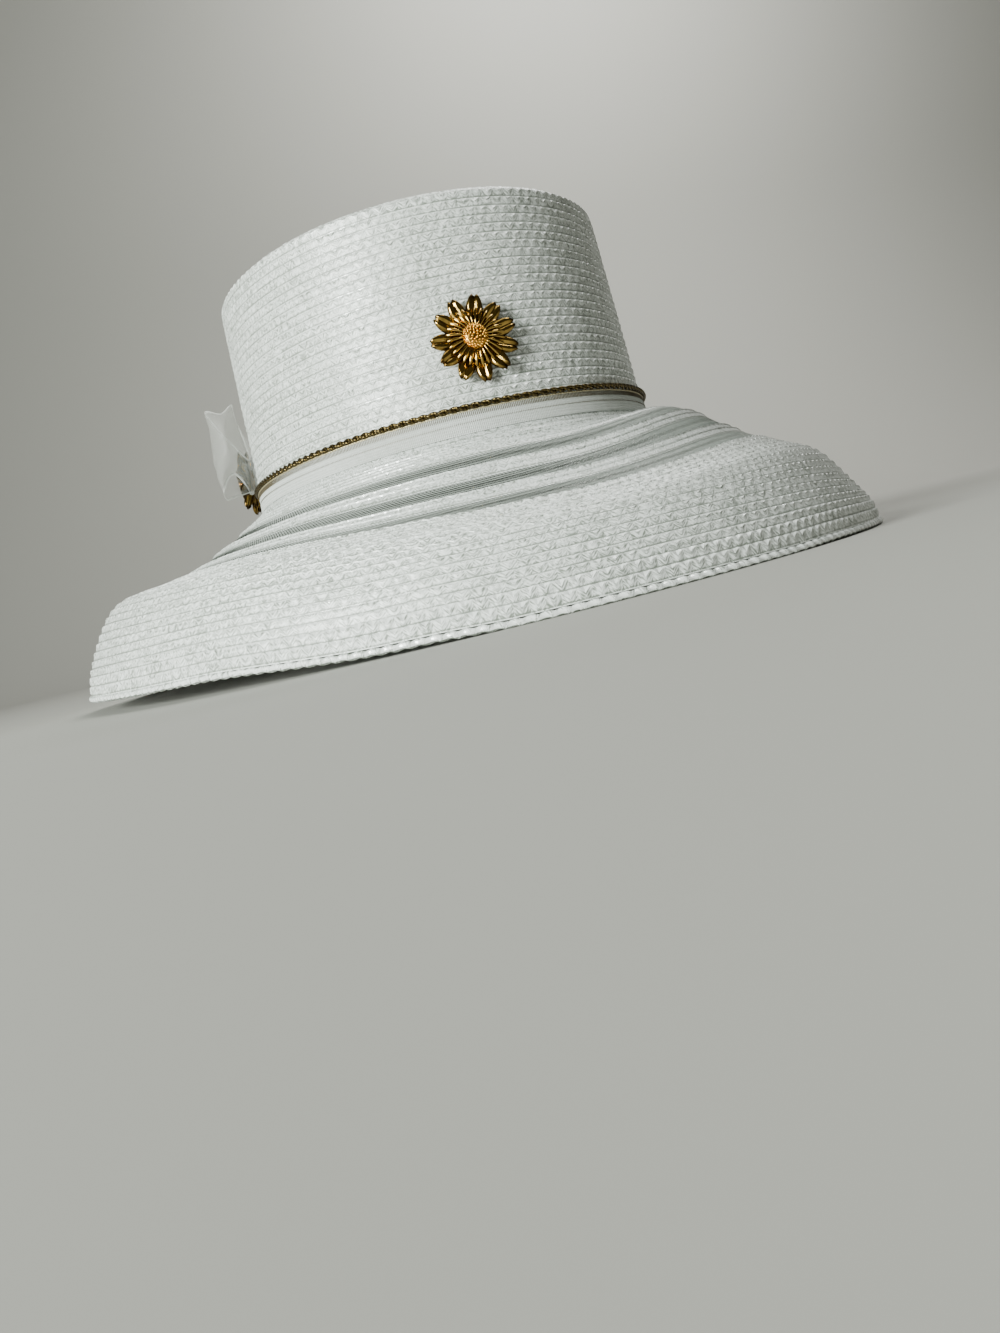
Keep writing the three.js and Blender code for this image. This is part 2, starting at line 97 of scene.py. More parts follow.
@dataclass(frozen=True)
class HatForm:
    """The hat's outer surfaces, from the same sizes as the frame's solids."""

    foot_half_width: float = 84.5
    foot_half_length: float = 103.2
    top_half_width: float = 81.0
    top_half_length: float = 93.4
    foot_height: float = 65.2
    top_height: float = 149.5
    corner_radius: float = 3.2
    tip_dome: float = 1.8
    rim_half_width: float = 170.3
    rim_half_length: float = 177.0
    rim_squareness: float = 1.88
    section: tuple[tuple[float, float], ...] = (
        (0.0, 64.9), (0.035, 61.6), (0.09, 58.4), (0.16, 55.0), (0.28, 49.0), (0.45, 40.6),
        (0.62, 35.8), (0.78, 31.6), (0.9, 21.6), (0.97, 11.2), (1.0, 0.0),
    )
    rim_waves: tuple[tuple[float, float], ...] = (
        (0, -0.8), (15, -0.6), (35, 0.4), (62, 0.2), (90, -0.8), (112, 0.8), (140, 3.4),
        (180, 1.6), (222, -0.8), (250, 2.2), (280, 4.8), (315, 4.6), (340, 1.0),
    )
    swells: tuple[Swell, ...] = (
        Swell(50, 46, 0.0, 0.22, 0.98, 9.3),
        Swell(-70, 60, 0.2, 0.66, 1.0, 3.0),
        Swell(-95, 60, 0.6, 0.82, 1.0, 4.0),
        Swell(5, 40, 0.42, 0.68, 0.9, -3.4),
        Swell(70, 50, 0.76, 0.92, 1.0, -3.0),
        Swell(-10, 50, 0.0, 0.15, 0.45, 2.0),
    )
    section_points: int = 4001
    slit_gap: float = 0.02

    def oval(
        self,
        half_width: np.ndarray,
        half_length: np.ndarray,
        squareness: float,
        azimuth: np.ndarray,
    ) -> tuple[np.ndarray, np.ndarray]:
        """Gives a point of an oval.

        Args:
            half_width: Half its width, along X.
            half_length: Half its length, along Y.
            squareness: 2 for a true ellipse.
            azimuth: Degrees from the front.

        Returns:
            The point's x and y.
        """
        s = np.sin(np.radians(azimuth))
        c = -np.cos(np.radians(azimuth))
        power = 2 / squareness
        x = half_width * np.sign(s) * np.abs(s) ** power
        y = half_length * np.sign(c) * np.abs(c) ** power
        return x, y

    def wall(self, azimuth: np.ndarray, height: np.ndarray, offset: np.ndarray = 0.0) -> np.ndarray:
        """Gives points on the crown's outer wall.

        Args:
            azimuth: Degrees from the front.
            height: Millimetres above the table.
            offset: How far the points stand off the wall.

        Returns:
            The points, with x, y and z last.
        """
        share = (height - self.foot_height) / (self.top_height - self.foot_height)
        half_width = self.foot_half_width + (self.top_half_width - self.foot_half_width) * share
        half_length = self.foot_half_length + (self.top_half_length - self.foot_half_length) * share
        x, y = self.oval(half_width + offset, half_length + offset, 2.0, azimuth)
        return np.stack(np.broadcast_arrays(x, y, np.asarray(height, float)), -1)

    def crown_side(self, azimuth: np.ndarray, distance: np.ndarray) -> np.ndarray:
        """Gives points from the tip's edge, over the rounded corner and down the wall.

        Args:
            azimuth: Degrees from the front.
            distance: Millimetres from the tip's edge.

        Returns:
            The points, with x, y and z last.
        """
        arc = self.corner_radius * math.pi / 2
        turn = np.clip(distance / arc, 0, 1) * math.pi / 2
        straight = self.top_height - self.corner_radius
        height = straight + self.corner_radius * np.cos(turn) - np.maximum(distance - arc, 0)
        inset = self.corner_radius * (np.sin(turn) - 1) + np.minimum(distance, 0)
        level = np.minimum(height, straight)
        points = self.wall(azimuth, level, inset)
        points[..., 2] = height
        return points

    def crown_tip(self, azimuth: np.ndarray, distance: np.ndarray) -> np.ndarray:
        """Gives points of the gently domed tip.

        Args:
            azimuth: Degrees from the front.
            distance: Millimetres out from the slit where the braid starts.

        Returns:
            The points, with x, y and z last.
        """
        reach = self.tip_reach
        edge = self.crown_side(np.zeros(1), np.zeros(1))[0]
        slit = -edge[1] - reach
        distance = np.maximum(distance, self.slit_gap)
        x, y = self.oval(distance, distance + slit, 2.0, azimuth)
        height = self.top_height + self.tip_dome * (1 - (distance / reach) ** 2)
        return np.stack(np.broadcast_arrays(x, y, height), -1)

    @property
    def tip_reach(self) -> float:
        """How far the tip reaches out from its slit."""
        return float(self.crown_side(np.full(1, 90.0), np.zeros(1))[0, 0])

    @property
    def side_length(self) -> float:
        """The crown's length from the tip's edge down to its foot."""
        straight = self.top_height - self.corner_radius - self.foot_height
        return self.corner_radius * math.pi / 2 + straight

    def section_line(self) -> tuple[np.ndarray, np.ndarray]:
        """Draws the brim's section as a smooth line.

        Returns:
            The length along the line to each of its points, and the points.
        """
        run = self.rim_half_width - self.foot_half_width
        knots = np.array(self.section) * [run, 1.0]
        last = len(knots) - 1
        place = np.linspace(0, last, self.section_points)
        i = np.minimum(place.astype(int), last)
        line = smooth_line(
            knots[np.maximum(i - 1, 0)],
            knots[i],
            knots[np.minimum(i + 1, last)],
            knots[np.minimum(i + 2, last)],
            (place - i)[:, None],
        )
        steps = np.hypot(*np.diff(line, axis=0).T)
        return np.concatenate([[0.0], np.cumsum(steps)]), line

    def rim_lift(self, azimuth: np.ndarray) -> np.ndarray:
        """Says how far the rim is lifted off the table.

        Args:
            azimuth: Degrees from the front.

        Returns:
            The lift at each azimuth.
        """
        table = np.array(self.rim_waves)
        turns = np.append(table[:, 0], 360.0)
        lifts = np.append(table[:, 1], table[0, 1])
        turn = np.asarray(azimuth, float) % 360
        i = np.clip(np.searchsorted(turns, turn, side="right") - 1, 0, len(table) - 1)
        share = (turn - turns[i]) / (turns[i + 1] - turns[i])
        share = share * share * (3 - 2 * share)
        return np.maximum(0, lifts[i] * (1 - share) + lifts[i + 1] * share)

    def brim(self, azimuth: np.ndarray, distance: np.ndarray) -> np.ndarray:
        """Gives points of the brim's upper surface.

        Args:
            azimuth: Degrees from the front.
            distance: Millimetres along the section from the crown's foot.

        Returns:
            The points, with x, y and z last.
        """
        azimuth, distance = np.broadcast_arrays(
            np.asarray(azimuth, float), np.asarray(distance, float)
        )
        length, line = self.section_line()
        run = self.rim_half_width - self.foot_half_width
        out = np.interp(distance, length, line[:, 0]) / run
        height = np.interp(distance, length, line[:, 1])
        root_x, root_y = self.oval(self.foot_half_width, self.foot_half_length, 2.0, azimuth)
        rim_x, rim_y = self.oval(
            self.rim_half_width, self.rim_half_length, self.rim_squareness, azimuth
        )
        height = height + self.rim_lift(azimuth) * (1 - height / self.section[0][1])
        for swell in self.swells:
            turn = ((azimuth - swell.azimuth + 540) % 360 - 180) / swell.spread
            reach = np.where(out < swell.peak, swell.peak - swell.start, swell.end - swell.peak)
            height = height + swell.lift * soft_bump(turn) * soft_bump((out - swell.peak) / reach)
        x = root_x + (rim_x - root_x) * out
        y = root_y + (rim_y - root_y) * out
        return np.stack([x, y, height], -1)

    @property
    def brim_length(self) -> float:
        """The brim's length along its section."""
        return float(self.section_line()[0][-1])


def soft_bump(distance: np.ndarray) -> np.ndarray:
    """Gives 1 in the middle, falling softly to 0 at a distance of 1 and beyond."""
    return np.where(np.abs(distance) < 1, np.cos(np.pi / 2 * distance) ** 2, 0.0)


def smooth_line(
    before: np.ndarray, here: np.ndarray, after: np.ndarray, beyond: np.ndarray, share: np.ndarray
) -> np.ndarray:
    """Draws a smooth line through knots.

    Args:
        before: The knot before each point's stretch.
        here: The knot where the stretch starts.
        after: The knot where it ends.
        beyond: The knot after it.
        share: How far along the stretch each point is.

    Returns:
        The points of the line.
    """
    pull, push = (after - before) / 2, (beyond - here) / 2
    return (
        (2 * here - 2 * after + pull + push) * share**3
        + (-3 * here + 3 * after - 2 * pull - push) * share**2
        + pull * share
        + here
    )


def raised(
    surface: Surface, azimuth: np.ndarray, distance: np.ndarray, height: np.ndarray
) -> np.ndarray:
    """Moves points of a surface along its outward normal.

    Args:
        surface: The surface.
        azimuth: Degrees from the front.
        distance: Millimetres along the surface's section.
        height: How far each point is moved outwards.

    Returns:
        The moved points.
    """
    step = 0.4
    along = surface(azimuth, distance + step) - surface(azimuth, distance - step)
    across = surface(azimuth + step, distance) - surface(azimuth - step, distance)
    normal = np.cross(along, across)
    normal /= np.maximum(np.linalg.norm(normal, axis=-1, keepdims=True), 1e-9)
    return surface(azimuth, distance) + normal * np.asarray(height)[..., None]


def even_azimuths(surface: Surface, distance: float, count: int) -> np.ndarray:
    """Spaces azimuths evenly by length along one ring of a surface.

    Args:
        surface: The surface.
        distance: Which ring.
        count: How many azimuths.

    Returns:
        The azimuths in degrees, from the back of the hat round.
    """
    dense = np.linspace(180.0, 540.0, RING_STEPS + 1)
    ring = surface(dense, np.full_like(dense, distance))
    length = np.concatenate([[0.0], np.cumsum(np.linalg.norm(np.diff(ring, axis=0), axis=1))])
    return np.interp(np.arange(count) / count * length[-1], length, dense)


def ring_length(surface: Surface, distance: float) -> float:
    """Measures one ring of a surface.

    Args:
        surface: The surface.
        distance: Which ring.

    Returns:
        Its length.
    """
    dense = np.linspace(0.0, 360.0, RING_STEPS // 2 + 1)
    ring = surface(dense, np.full_like(dense, distance))
    return float(np.linalg.norm(np.diff(ring, axis=0), axis=1).sum())


# Meshes


class Work:
    """Points, faces and pattern coordinates of one piece while it is being made."""

    def __init__(self) -> None:
        """Starts with nothing."""
        self.points: list[np.ndarray] = []
        self.faces: list[np.ndarray] = []
        self.coords: list[np.ndarray] = []
        self.count = 0

    def add_points(self, points: np.ndarray) -> np.ndarray:
        """Adds points and gives their numbers, in the same shape.

        Args:
            points: Points with x, y and z last.

        Returns:
            The numbers of the points.
        """
        flat = points.reshape(-1, 3)
        self.points.append(flat)
        numbers = np.arange(self.count, self.count + len(flat)).reshape(points.shape[:-1])
        self.count += len(flat)
        return numbers

    def add_faces(self, faces: np.ndarray, coords: np.ndarray | None = None) -> None:
        """Adds faces of equally many corners.

        Args:
            faces: Point numbers, one row a face.
            coords: Pattern coordinates of each corner, or none for zero.
        """
        self.faces.append(faces)
        self.coords.append(np.zeros((*faces.shape, 2)) if coords is None else coords)

    def add_grid(self, grid: np.ndarray, u: np.ndarray, v: np.ndarray) -> None:
        """Adds the faces between the rows and columns of a grid of point numbers.

        Args:
            grid: Point numbers.
            u: Pattern coordinate of each, along a row.
            v: Pattern coordinate of each, across the rows.
        """
        corners = [np.s_[:-1, :-1], np.s_[1:, :-1], np.s_[1:, 1:], np.s_[:-1, 1:]]
        faces = np.stack([grid[c].ravel() for c in corners], -1)
        coords = np.stack([np.stack([u[c].ravel(), v[c].ravel()], -1) for c in corners], 1)
        self.add_faces(faces, coords)

    def add_rings(self, rings: np.ndarray, u: np.ndarray, v: np.ndarray) -> np.ndarray:
        """Adds a grid of rings, closed round each ring.

        Args:
            rings: Points, ring by ring.
            u: Pattern coordinate along a ring, with one value more than its points.
            v: Pattern coordinate of each point across the rings.

        Returns:
            The numbers of the points.
        """
        numbers = self.add_points(rings)
        grid = np.concatenate([numbers, numbers[:, :1]], 1)
        self.add_grid(grid, np.broadcast_to(u, grid.shape), np.concatenate([v, v[:, :1]], 1))
        return numbers

    def bridge(self, fine: np.ndarray, coarse: np.ndarray, flip: bool) -> None:
        """Closes the seam between a fine ring and a coarser one.

        Args:
            fine: Point numbers of the fine ring.
            coarse: Point numbers of the coarse ring, a whole fraction as many.
            flip: Whether the faces are turned over.
        """
        ratio = len(fine) // len(coarse)
        faces = []
        for i in range(len(coarse)):
            here, there = coarse[i], coarse[(i + 1) % len(coarse)]
            for k in range(ratio):
                a, b = fine[i * ratio + k], fine[(i * ratio + k + 1) % len(fine)]
                faces.append((a, b, here if k < ratio / 2 else there))
            middle = fine[(i * ratio + math.ceil(ratio / 2)) % len(fine)]
            faces.append((middle, there, here))
        turned = np.array(faces)
        self.add_faces(turned[:, ::-1] if flip else turned)

    def mesh(self, name: str) -> bpy.types.Object:
        """Makes the piece's object, in metres, with its faces outwards.

        Args:
            name: The object's name.

        Returns:
            The new object, at the origin.
        """
        points = np.concatenate(self.points) * MM
        volume = 0.0
        for faces in self.faces:
            a, b, c = points[faces[:, 0]], points[faces[:, 1]], points[faces[:, 2]]
            volume += float((a * np.cross(b, c)).sum())
            if faces.shape[1] == 4:
                d = points[faces[:, 3]]
                volume += float((a * np.cross(c, d)).sum())
        step = -1 if volume < 0 else 1
        polygons = [tuple(f) for faces in self.faces for f in faces[:, ::step].tolist()]
        coords = np.concatenate([c[:, ::step].reshape(-1, 2) for c in self.coords])
        data = bpy.data.meshes.new(name)
        data.from_pydata(points.tolist(), [], polygons)
        layer = data.uv_layers.new(name="pattern")
        layer.data.foreach_set("uv", coords.astype(np.float32).ravel())
        data.validate()
        piece = bpy.data.objects.new(name, data)
        bpy.context.scene.collection.objects.link(piece)
        return piece


def wrapped(numbers: np.ndarray) -> np.ndarray:
    """Repeats the first row and the first column of a grid, so that it closes both ways."""
    grid = np.concatenate([numbers, numbers[:1]])
    return np.concatenate([grid, grid[:, :1]], 1)


def select_only(*pieces: bpy.types.Object) -> None:
    """Selects objects and no others.

    Args:
        pieces: The objects; the last one becomes active.
    """
    bpy.ops.object.select_all(action="DESELECT")
    for piece in pieces:
        piece.select_set(True)
    bpy.context.view_layer.objects.active = pieces[-1]


def smooth_by_angle(piece: bpy.types.Object, degrees: float) -> None:
    """Shades a piece smooth, but for edges sharper than an angle."""
    select_only(piece)
    bpy.ops.object.shade_smooth_by_angle(angle=math.radians(degrees))


def settle(piece: bpy.types.Object) -> None:
    """Moves an object's place, turn and scale into its mesh."""
    select_only(piece)
    bpy.ops.object.transform_apply(location=True, rotation=True, scale=True)


def join(name: str, pieces: Sequence[bpy.types.Object]) -> bpy.types.Object:
    """Joins objects into one.

    Args:
        name: The joined object's name.
        pieces: The objects; the last one keeps its place.

    Returns:
        The joined object.
    """
    select_only(*pieces)
    bpy.ops.object.join()
    whole = bpy.context.active_object
    whole.name = name
    whole.data.name = name
    return whole


def dress(
    piece: bpy.types.Object,
    material: bpy.types.Material,
    nodes: Sequence[str],
    smooth: float | None = None,
) -> bpy.types.Object:
    """Gives a finished piece its material and its place on the frame.

    Args:
        piece: The finished object.
        material: Its material.
        nodes: The frame's nodes that it stands for.
        smooth: Edges sharper than this many degrees stay sharp, or none to leave the shading.

    Returns:
        The same object.
    """
    piece.data.materials.clear()
    piece.data.materials.append(material)
    if smooth is not None:
        smooth_by_angle(piece, smooth)
    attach(piece, "root")
    if nodes:
        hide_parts(*nodes)
    triangles = sum(len(p.vertices) - 2 for p in piece.data.polygons)
    log.info("%s: %d triangles, for %s", piece.name, triangles, ", ".join(nodes) or "itself")
    return piece


# Materials


class Nodes:
    """A short way to write a node tree."""

    def __init__(self, tree: bpy.types.NodeTree) -> None:
        """Keeps the tree.

        Args:
            tree: The node tree that is written.
        """
        self.tree = tree

    def add(self, kind: str, inputs: dict | None = None, **settings: object) -> bpy.types.Node:
        """Adds a node.

        Args:
            kind: Its type, without the ShaderNode prefix.
            inputs: Values or sockets for its inputs, by name or number.
            settings: Values for its own properties.

        Returns:
            The new node.
        """
        node = self.tree.nodes.new("ShaderNode" + kind)
        for key, value in settings.items():
            setattr(node, key, value)
        for key, value in (inputs or {}).items():
            if isinstance(value, bpy.types.NodeSocket):
                self.tree.links.new(value, node.inputs[key])
            else:
                node.inputs[key].default_value = value
        return node

    def math(self, operation: str, *values: object) -> bpy.types.NodeSocket:
        """Adds a Math node and gives its output."""
        inputs = dict(enumerate(values))
        return self.add("Math", inputs, operation=operation).outputs[0]

    def ramp(
        self,
        value: bpy.types.NodeSocket,
        start: float,
        end: float,
        first: float = 0.0,
        last: float = 1.0,
        **settings: object,
    ) -> bpy.types.NodeSocket:
        """Adds a Map Range node.

        Args:
            value: The value that is mapped.
            start: The value where the ramp starts.
            end: The value where it ends.
            first: The result at the start.
            last: The result at the end.
            settings: Values for the node's own properties.

        Returns:
            Its output.
        """
        inputs = {0: value, 1: start, 2: end, 3: first, 4: last}
        return self.add("MapRange", inputs, **settings).outputs[0]


def new_group(name: str, inputs: dict[str, float], outputs: dict[str, str]) -> bpy.types.NodeTree:
    """Starts a shader node group.

    Args:
        name: The group's name.
        inputs: Names and values of its float inputs.
        outputs: Names and socket types of its outputs.

    Returns:
        The new group, with its sockets.
    """
    group = bpy.data.node_groups.new(name, "ShaderNodeTree")
    for key, value in inputs.items():
        socket = group.interface.new_socket(key, in_out="INPUT", socket_type="NodeSocketFloat")
        socket.default_value = value
    for key, kind in outputs.items():
        group.interface.new_socket(key, in_out="OUTPUT", socket_type=kind)
    return group


def filament_group() -> bpy.types.NodeTree:
    """Builds the straw's look: whiter where one row lies over the next, partly for the double layer
    and partly as a painted highlight on the lit fold;
    greyer where one layer lets light through; painted shade in the dip under each row's edge and
    under each arch; a painted glint on the notches;
    and slantwise lines that are partly filament grain and partly painted sparkle.

    The fine filaments run slantwise and turn in a chevron at each plait. Places across a row are
    shares of it, from its seam.

    Returns:
        A group that reads the pattern coordinates and gives a height, a mask of tone with painted
        light and shade, and a mask of the notches, whose flat strands shine more than the rest.
    """
    group = new_group(
        "straw_filaments",
        {
            "Pitch": 4.6,
            "Row": 3.2,
            "Lines": 9.0,
            "OverlapAndHighlight": 0.5,
            "GrooveShade": 0.4,
            "ArchShade": 0.4,
            "Mottle": 0.25,
            "Streaks": 1.5,
            "NotchGlint": 0.3,
        },
        {"Height": "NodeSocketFloat", "ToneAndPaintedLight": "NodeSocketFloat", "Notch": "NodeSocketFloat"},
    )
    seam = 0.09
    plain_white = 0.64
    notch_depth, notch_slope = 0.36, 1.2
    n = Nodes(group)
    given = group.nodes.new("NodeGroupInput")
    result = group.nodes.new("NodeGroupOutput")
    apart = n.add("SeparateXYZ", {0: n.add("UVMap", uv_map="pattern").outputs[0]})
    u, v = apart.outputs[0], apart.outputs[1]
    side = n.math("ABSOLUTE", n.math("SUBTRACT", n.math("FRACT", u), 0.5))
    along = n.math("MULTIPLY", side, given.outputs["Pitch"])
    across = n.math("MULTIPLY", v, given.outputs["Row"])
    slant = n.math("MULTIPLY", n.math("ADD", along, across), given.outputs["Lines"])
    lines = n.math("SINE", slant)
    place = n.add("TexCoord").outputs["Object"]
    mottle = n.add("TexNoise", {"Vector": place, "Scale": 140.0, "Detail": 4.0}).outputs[0]
    fine = n.add("TexNoise", {"Vector": place, "Scale": 900.0, "Detail": 2.0}).outputs[0]
    from_seam = n.math("ADD", v, seam)
    row = n.math("FRACT", from_seam)
    # A whiter band along each row's edge: partly the double layer of braid, partly a painted
    # highlight on the fold that catches the light.
    overlap_and_highlight = n.math("MULTIPLY", n.ramp(row, 0.0, 0.06), n.ramp(row, 0.14, 0.26, 1.0, 0.0))
    # Painted shade under each arch, where the plait's cushion faces down.
    arch = n.math("MULTIPLY_ADD", n.math("COSINE", n.math("MULTIPLY", u, 2 * math.pi)), 0.5, 0.5)
    lens = n.math("MULTIPLY", arch, n.ramp(row, 0.2, 0.42))
    cell = n.add("CombineXYZ", {0: n.math("FLOOR", u), 1: n.math("FLOOR", from_seam)})
    chance = n.add("TexWhiteNoise", {0: cell.outputs[0]}, noise_dimensions="3D").outputs[0]
    uneven = n.math("MULTIPLY", n.math("SUBTRACT", chance, 0.5), given.outputs["Mottle"])
    patch = n.math("SUBTRACT", mottle, 0.5)
    # From here the running tone mixes the straw's own whiteness with painted highlights, glints and
    # shade.
    white = n.math("MULTIPLY_ADD", overlap_and_highlight, given.outputs["OverlapAndHighlight"], plain_white)
    white = n.math("SUBTRACT", white, n.math("MULTIPLY", lens, given.outputs["ArchShade"]))
    white = n.math("ADD", white, uneven)
    white = n.math("ADD", white, n.math("MULTIPLY", patch, given.outputs["Mottle"]))
    # Slantwise lines along the filaments: partly their grain, partly a painted sparkle of filaments
    # catching the light.
    strand = n.add(
        "CombineXYZ",
        {
            0: n.math("MULTIPLY", n.math("ADD", along, across), 1.9),
            1: n.math("MULTIPLY", n.math("SUBTRACT", along, across), 0.4),
            2: n.math("MULTIPLY", n.math("FLOOR", u), 3.7),
        },
    ).outputs[0]
    streak_and_sparkle = n.add("TexNoise", {"Vector": strand, "Scale": 1.0, "Detail": 1.0}).outputs[0]
    streak_and_sparkle = n.math("MULTIPLY", n.math("SUBTRACT", streak_and_sparkle, 0.5), given.outputs["Streaks"])
    white = n.math("ADD", white, streak_and_sparkle)
    # Painted shade in the dip under the next row's edge.
    groove_shade = n.ramp(row, 0.82, 0.93)
    white = n.math("SUBTRACT", white, n.math("MULTIPLY", groove_shade, given.outputs["GrooveShade"]))
    # A painted glint on each notch's flat strands, added to the tone.
    three_cornered = n.math("SUBTRACT", notch_depth, n.math("MULTIPLY", side, notch_slope))
    notch = n.ramp(n.math("SUBTRACT", three_cornered, row), -0.02, 0.03)
    white = n.math("MULTIPLY_ADD", notch, given.outputs["NotchGlint"], white)
    group.links.new(n.add("Clamp", {0: white}).outputs[0], result.inputs["ToneAndPaintedLight"])
    group.links.new(n.math("MULTIPLY_ADD", lines, 0.5, fine), result.inputs["Height"])
    group.links.new(notch, result.inputs["Notch"])
    return group


def tarnish_and_reflection_group() -> bpy.types.NodeTree:
    """Builds the look of old gold plate: darker in patches of wear and finely scratched, with the
    rims and tips darkened as a painted dark reflection.

    Returns:
        A group that gives a mask of tarnishing and painted rim reflection, a roughness and a
        height.
    """
    group = new_group(
        "plate_tarnish_and_rim_reflection",
        {"Patches": 260.0, "Polish": 0.12, "RimReflection": 1.0},
        {"TarnishAndRimReflection": "NodeSocketFloat", "Roughness": "NodeSocketFloat", "Height": "NodeSocketFloat"},
    )
    n = Nodes(group)
    given = group.nodes.new("NodeGroupInput")
    result = group.nodes.new("NodeGroupOutput")
    place = n.add("TexCoord").outputs["Object"]
    noise = n.add(
        "TexNoise", {"Vector": place, "Scale": given.outputs["Patches"], "Detail": 4.0}
    ).outputs[0]
    patches = n.ramp(noise, 0.42, 0.7)
    apart = n.add("SeparateXYZ", {0: n.add("UVMap", uv_map="UVMap").outputs[0]})
    # Painted dark reflection: the plate darkens towards the piece's rims and tips.
    side = n.math("ABSOLUTE", n.math("SUBTRACT", apart.outputs[1], 0.5))
    rim = n.ramp(side, 0.3, 0.5, interpolation_type="SMOOTHSTEP")
    tip = n.ramp(apart.outputs[0], 0.8, 1.0, interpolation_type="SMOOTHSTEP")
    edge = n.math("MULTIPLY", n.math("MAXIMUM", rim, tip), given.outputs["RimReflection"])
    mask = n.math("MINIMUM", n.math("ADD", edge, n.math("MULTIPLY", patches, 0.6)), 1.0)
    fine = n.add("TexNoise", {"Vector": place, "Scale": 2600.0, "Detail": 2.0}).outputs[0]
    group.links.new(mask, result.inputs["TarnishAndRimReflection"])
    rough = n.math("ADD", given.outputs["Polish"], n.math("MULTIPLY", patches, 0.12))
    group.links.new(rough, result.inputs["Roughness"])
    group.links.new(n.math("ADD", fine, n.math("MULTIPLY", noise, 0.6)), result.inputs["Height"])
    return group


class Workshop:
    """Node groups that several finishes share, each built once."""

    def __init__(self) -> None:
        """Builds the groups."""
        self.filaments = filament_group()
        self.tarnish_and_reflection = tarnish_and_reflection_group()


def start_material(name: str) -> tuple[bpy.types.Material, Nodes, bpy.types.Node]:
    """Starts a material.

    Args:
        name: The material's name.

    Returns:
        The material, its nodes, and its shader.
    """
    material = bpy.data.materials.new(name)
    material.use_nodes = True
    nodes = Nodes(material.node_tree)
    return material, nodes, material.node_tree.nodes["Principled BSDF"]


@dataclass(frozen=True)
class BraidFinish:
    """Satin white straw braid: bright filaments, shaded between them with painted shade in the dips
    and under the arches, a painted highlight along each row's edge, and shiny notches with a
    painted glint.
    """

    name: str = "white_braid"
    bright: tuple[float, float, float] = (0.88, 0.91, 0.885)
    shaded: tuple[float, float, float] = (0.2, 0.225, 0.19)
    roughness: float = 0.4
    notch_roughness: float = 0.14
    coat_roughness: float = 0.1
    specular: float = 0.9
    sheen: float = 0.08
    lines: float = 13.0
    relief: float = 0.00001
    # Strengths of the mask's parts: the band where rows lie over each other, partly painted
    # highlight; painted shade in the dip under each row; lens, painted shade under each arch;
    # random tone; filament lines with painted sparkle; and the painted glint on the notches.
    overlap_and_highlight: float = 0.27
    groove_shade: float = 0.64
    lens: float = 0.1
    mottle: float = 0.12
    streaks_and_sparkle: float = 3.2
    notch_glint: float = 0.55

    def material(self, workshop: Workshop) -> bpy.types.Material:
        """Builds the material.

        Args:
            workshop: The shared node groups.

        Returns:
            The material.
        """
        material, n, shader = start_material(self.name)
        group = n.add("Group", node_tree=workshop.filaments)
        for key, value in (
            ("Lines", self.lines),
            ("OverlapAndHighlight", self.overlap_and_highlight),
            ("GrooveShade", self.groove_shade),
            ("ArchShade", self.lens),
            ("Mottle", self.mottle),
            ("Streaks", self.streaks_and_sparkle),
            ("NotchGlint", self.notch_glint),
        ):
            group.inputs[key].default_value = value
        colour = n.add(
            "Mix",
            {0: group.outputs["ToneAndPaintedLight"], 6: (*self.shaded, 1.0), 7: (*self.bright, 1.0)},
            data_type="RGBA",
        ).outputs[2]
        material.node_tree.links.new(colour, shader.inputs["Base Color"])
        bump = n.add(
            "Bump", {"Height": group.outputs["Height"], "Distance": self.relief, "Strength": 1.0}
        )
        material.node_tree.links.new(bump.outputs[0], shader.inputs["Normal"])
        rough = n.ramp(group.outputs["Notch"], 0.0, 1.0, self.roughness, self.notch_roughness)
        material.node_tree.links.new(rough, shader.inputs["Roughness"])
        material.node_tree.links.new(group.outputs["Notch"], shader.inputs["Coat Weight"])
        shader.inputs["Coat Roughness"].default_value = self.coat_roughness
        shader.inputs["Specular IOR Level"].default_value = self.specular
        shader.inputs["Sheen Weight"].default_value = self.sheen
        return material


@dataclass(frozen=True)
class ThreadFinish:
    """Round or flat spun thread, with a fine twist along it."""

    name: str
    bright: tuple[float, float, float]
    dark: tuple[float, float, float]
    metallic: float
    roughness: float
    twist: float = 40.0
    relief: float = 0.00006
    alpha: float = 1.0

    def material(self) -> bpy.types.Material:
        """Builds the material.

        Returns:
            The material.
        """
        material, n, shader = start_material(self.name)
        pattern = n.add("UVMap", uv_map="pattern").outputs[0]
        apart = n.add("SeparateXYZ", {0: pattern})
        slant = n.math("ADD", n.math("MULTIPLY", apart.outputs[0], self.twist), apart.outputs[1])
        lines = n.math("SINE", n.math("MULTIPLY", slant, 2 * math.pi))
        place = n.add("TexCoord").outputs["Object"]
        noise = n.add("TexNoise", {"Vector": place, "Scale": 500.0, "Detail": 2.0}).outputs[0]
        mix = n.math("ADD", n.math("MULTIPLY", lines, 0.3), noise)
        colour = n.add(
            "Mix", {0: mix, 6: (*self.dark, 1.0), 7: (*self.bright, 1.0)}, data_type="RGBA"
        ).outputs[2]
        material.node_tree.links.new(colour, shader.inputs["Base Color"])
        bump = n.add("Bump", {"Height": lines, "Distance": self.relief, "Strength": 1.0})
        material.node_tree.links.new(bump.outputs[0], shader.inputs["Normal"])
        shader.inputs["Metallic"].default_value = self.metallic
        shader.inputs["Roughness"].default_value = self.roughness
        shader.inputs["Alpha"].default_value = self.alpha
        return material


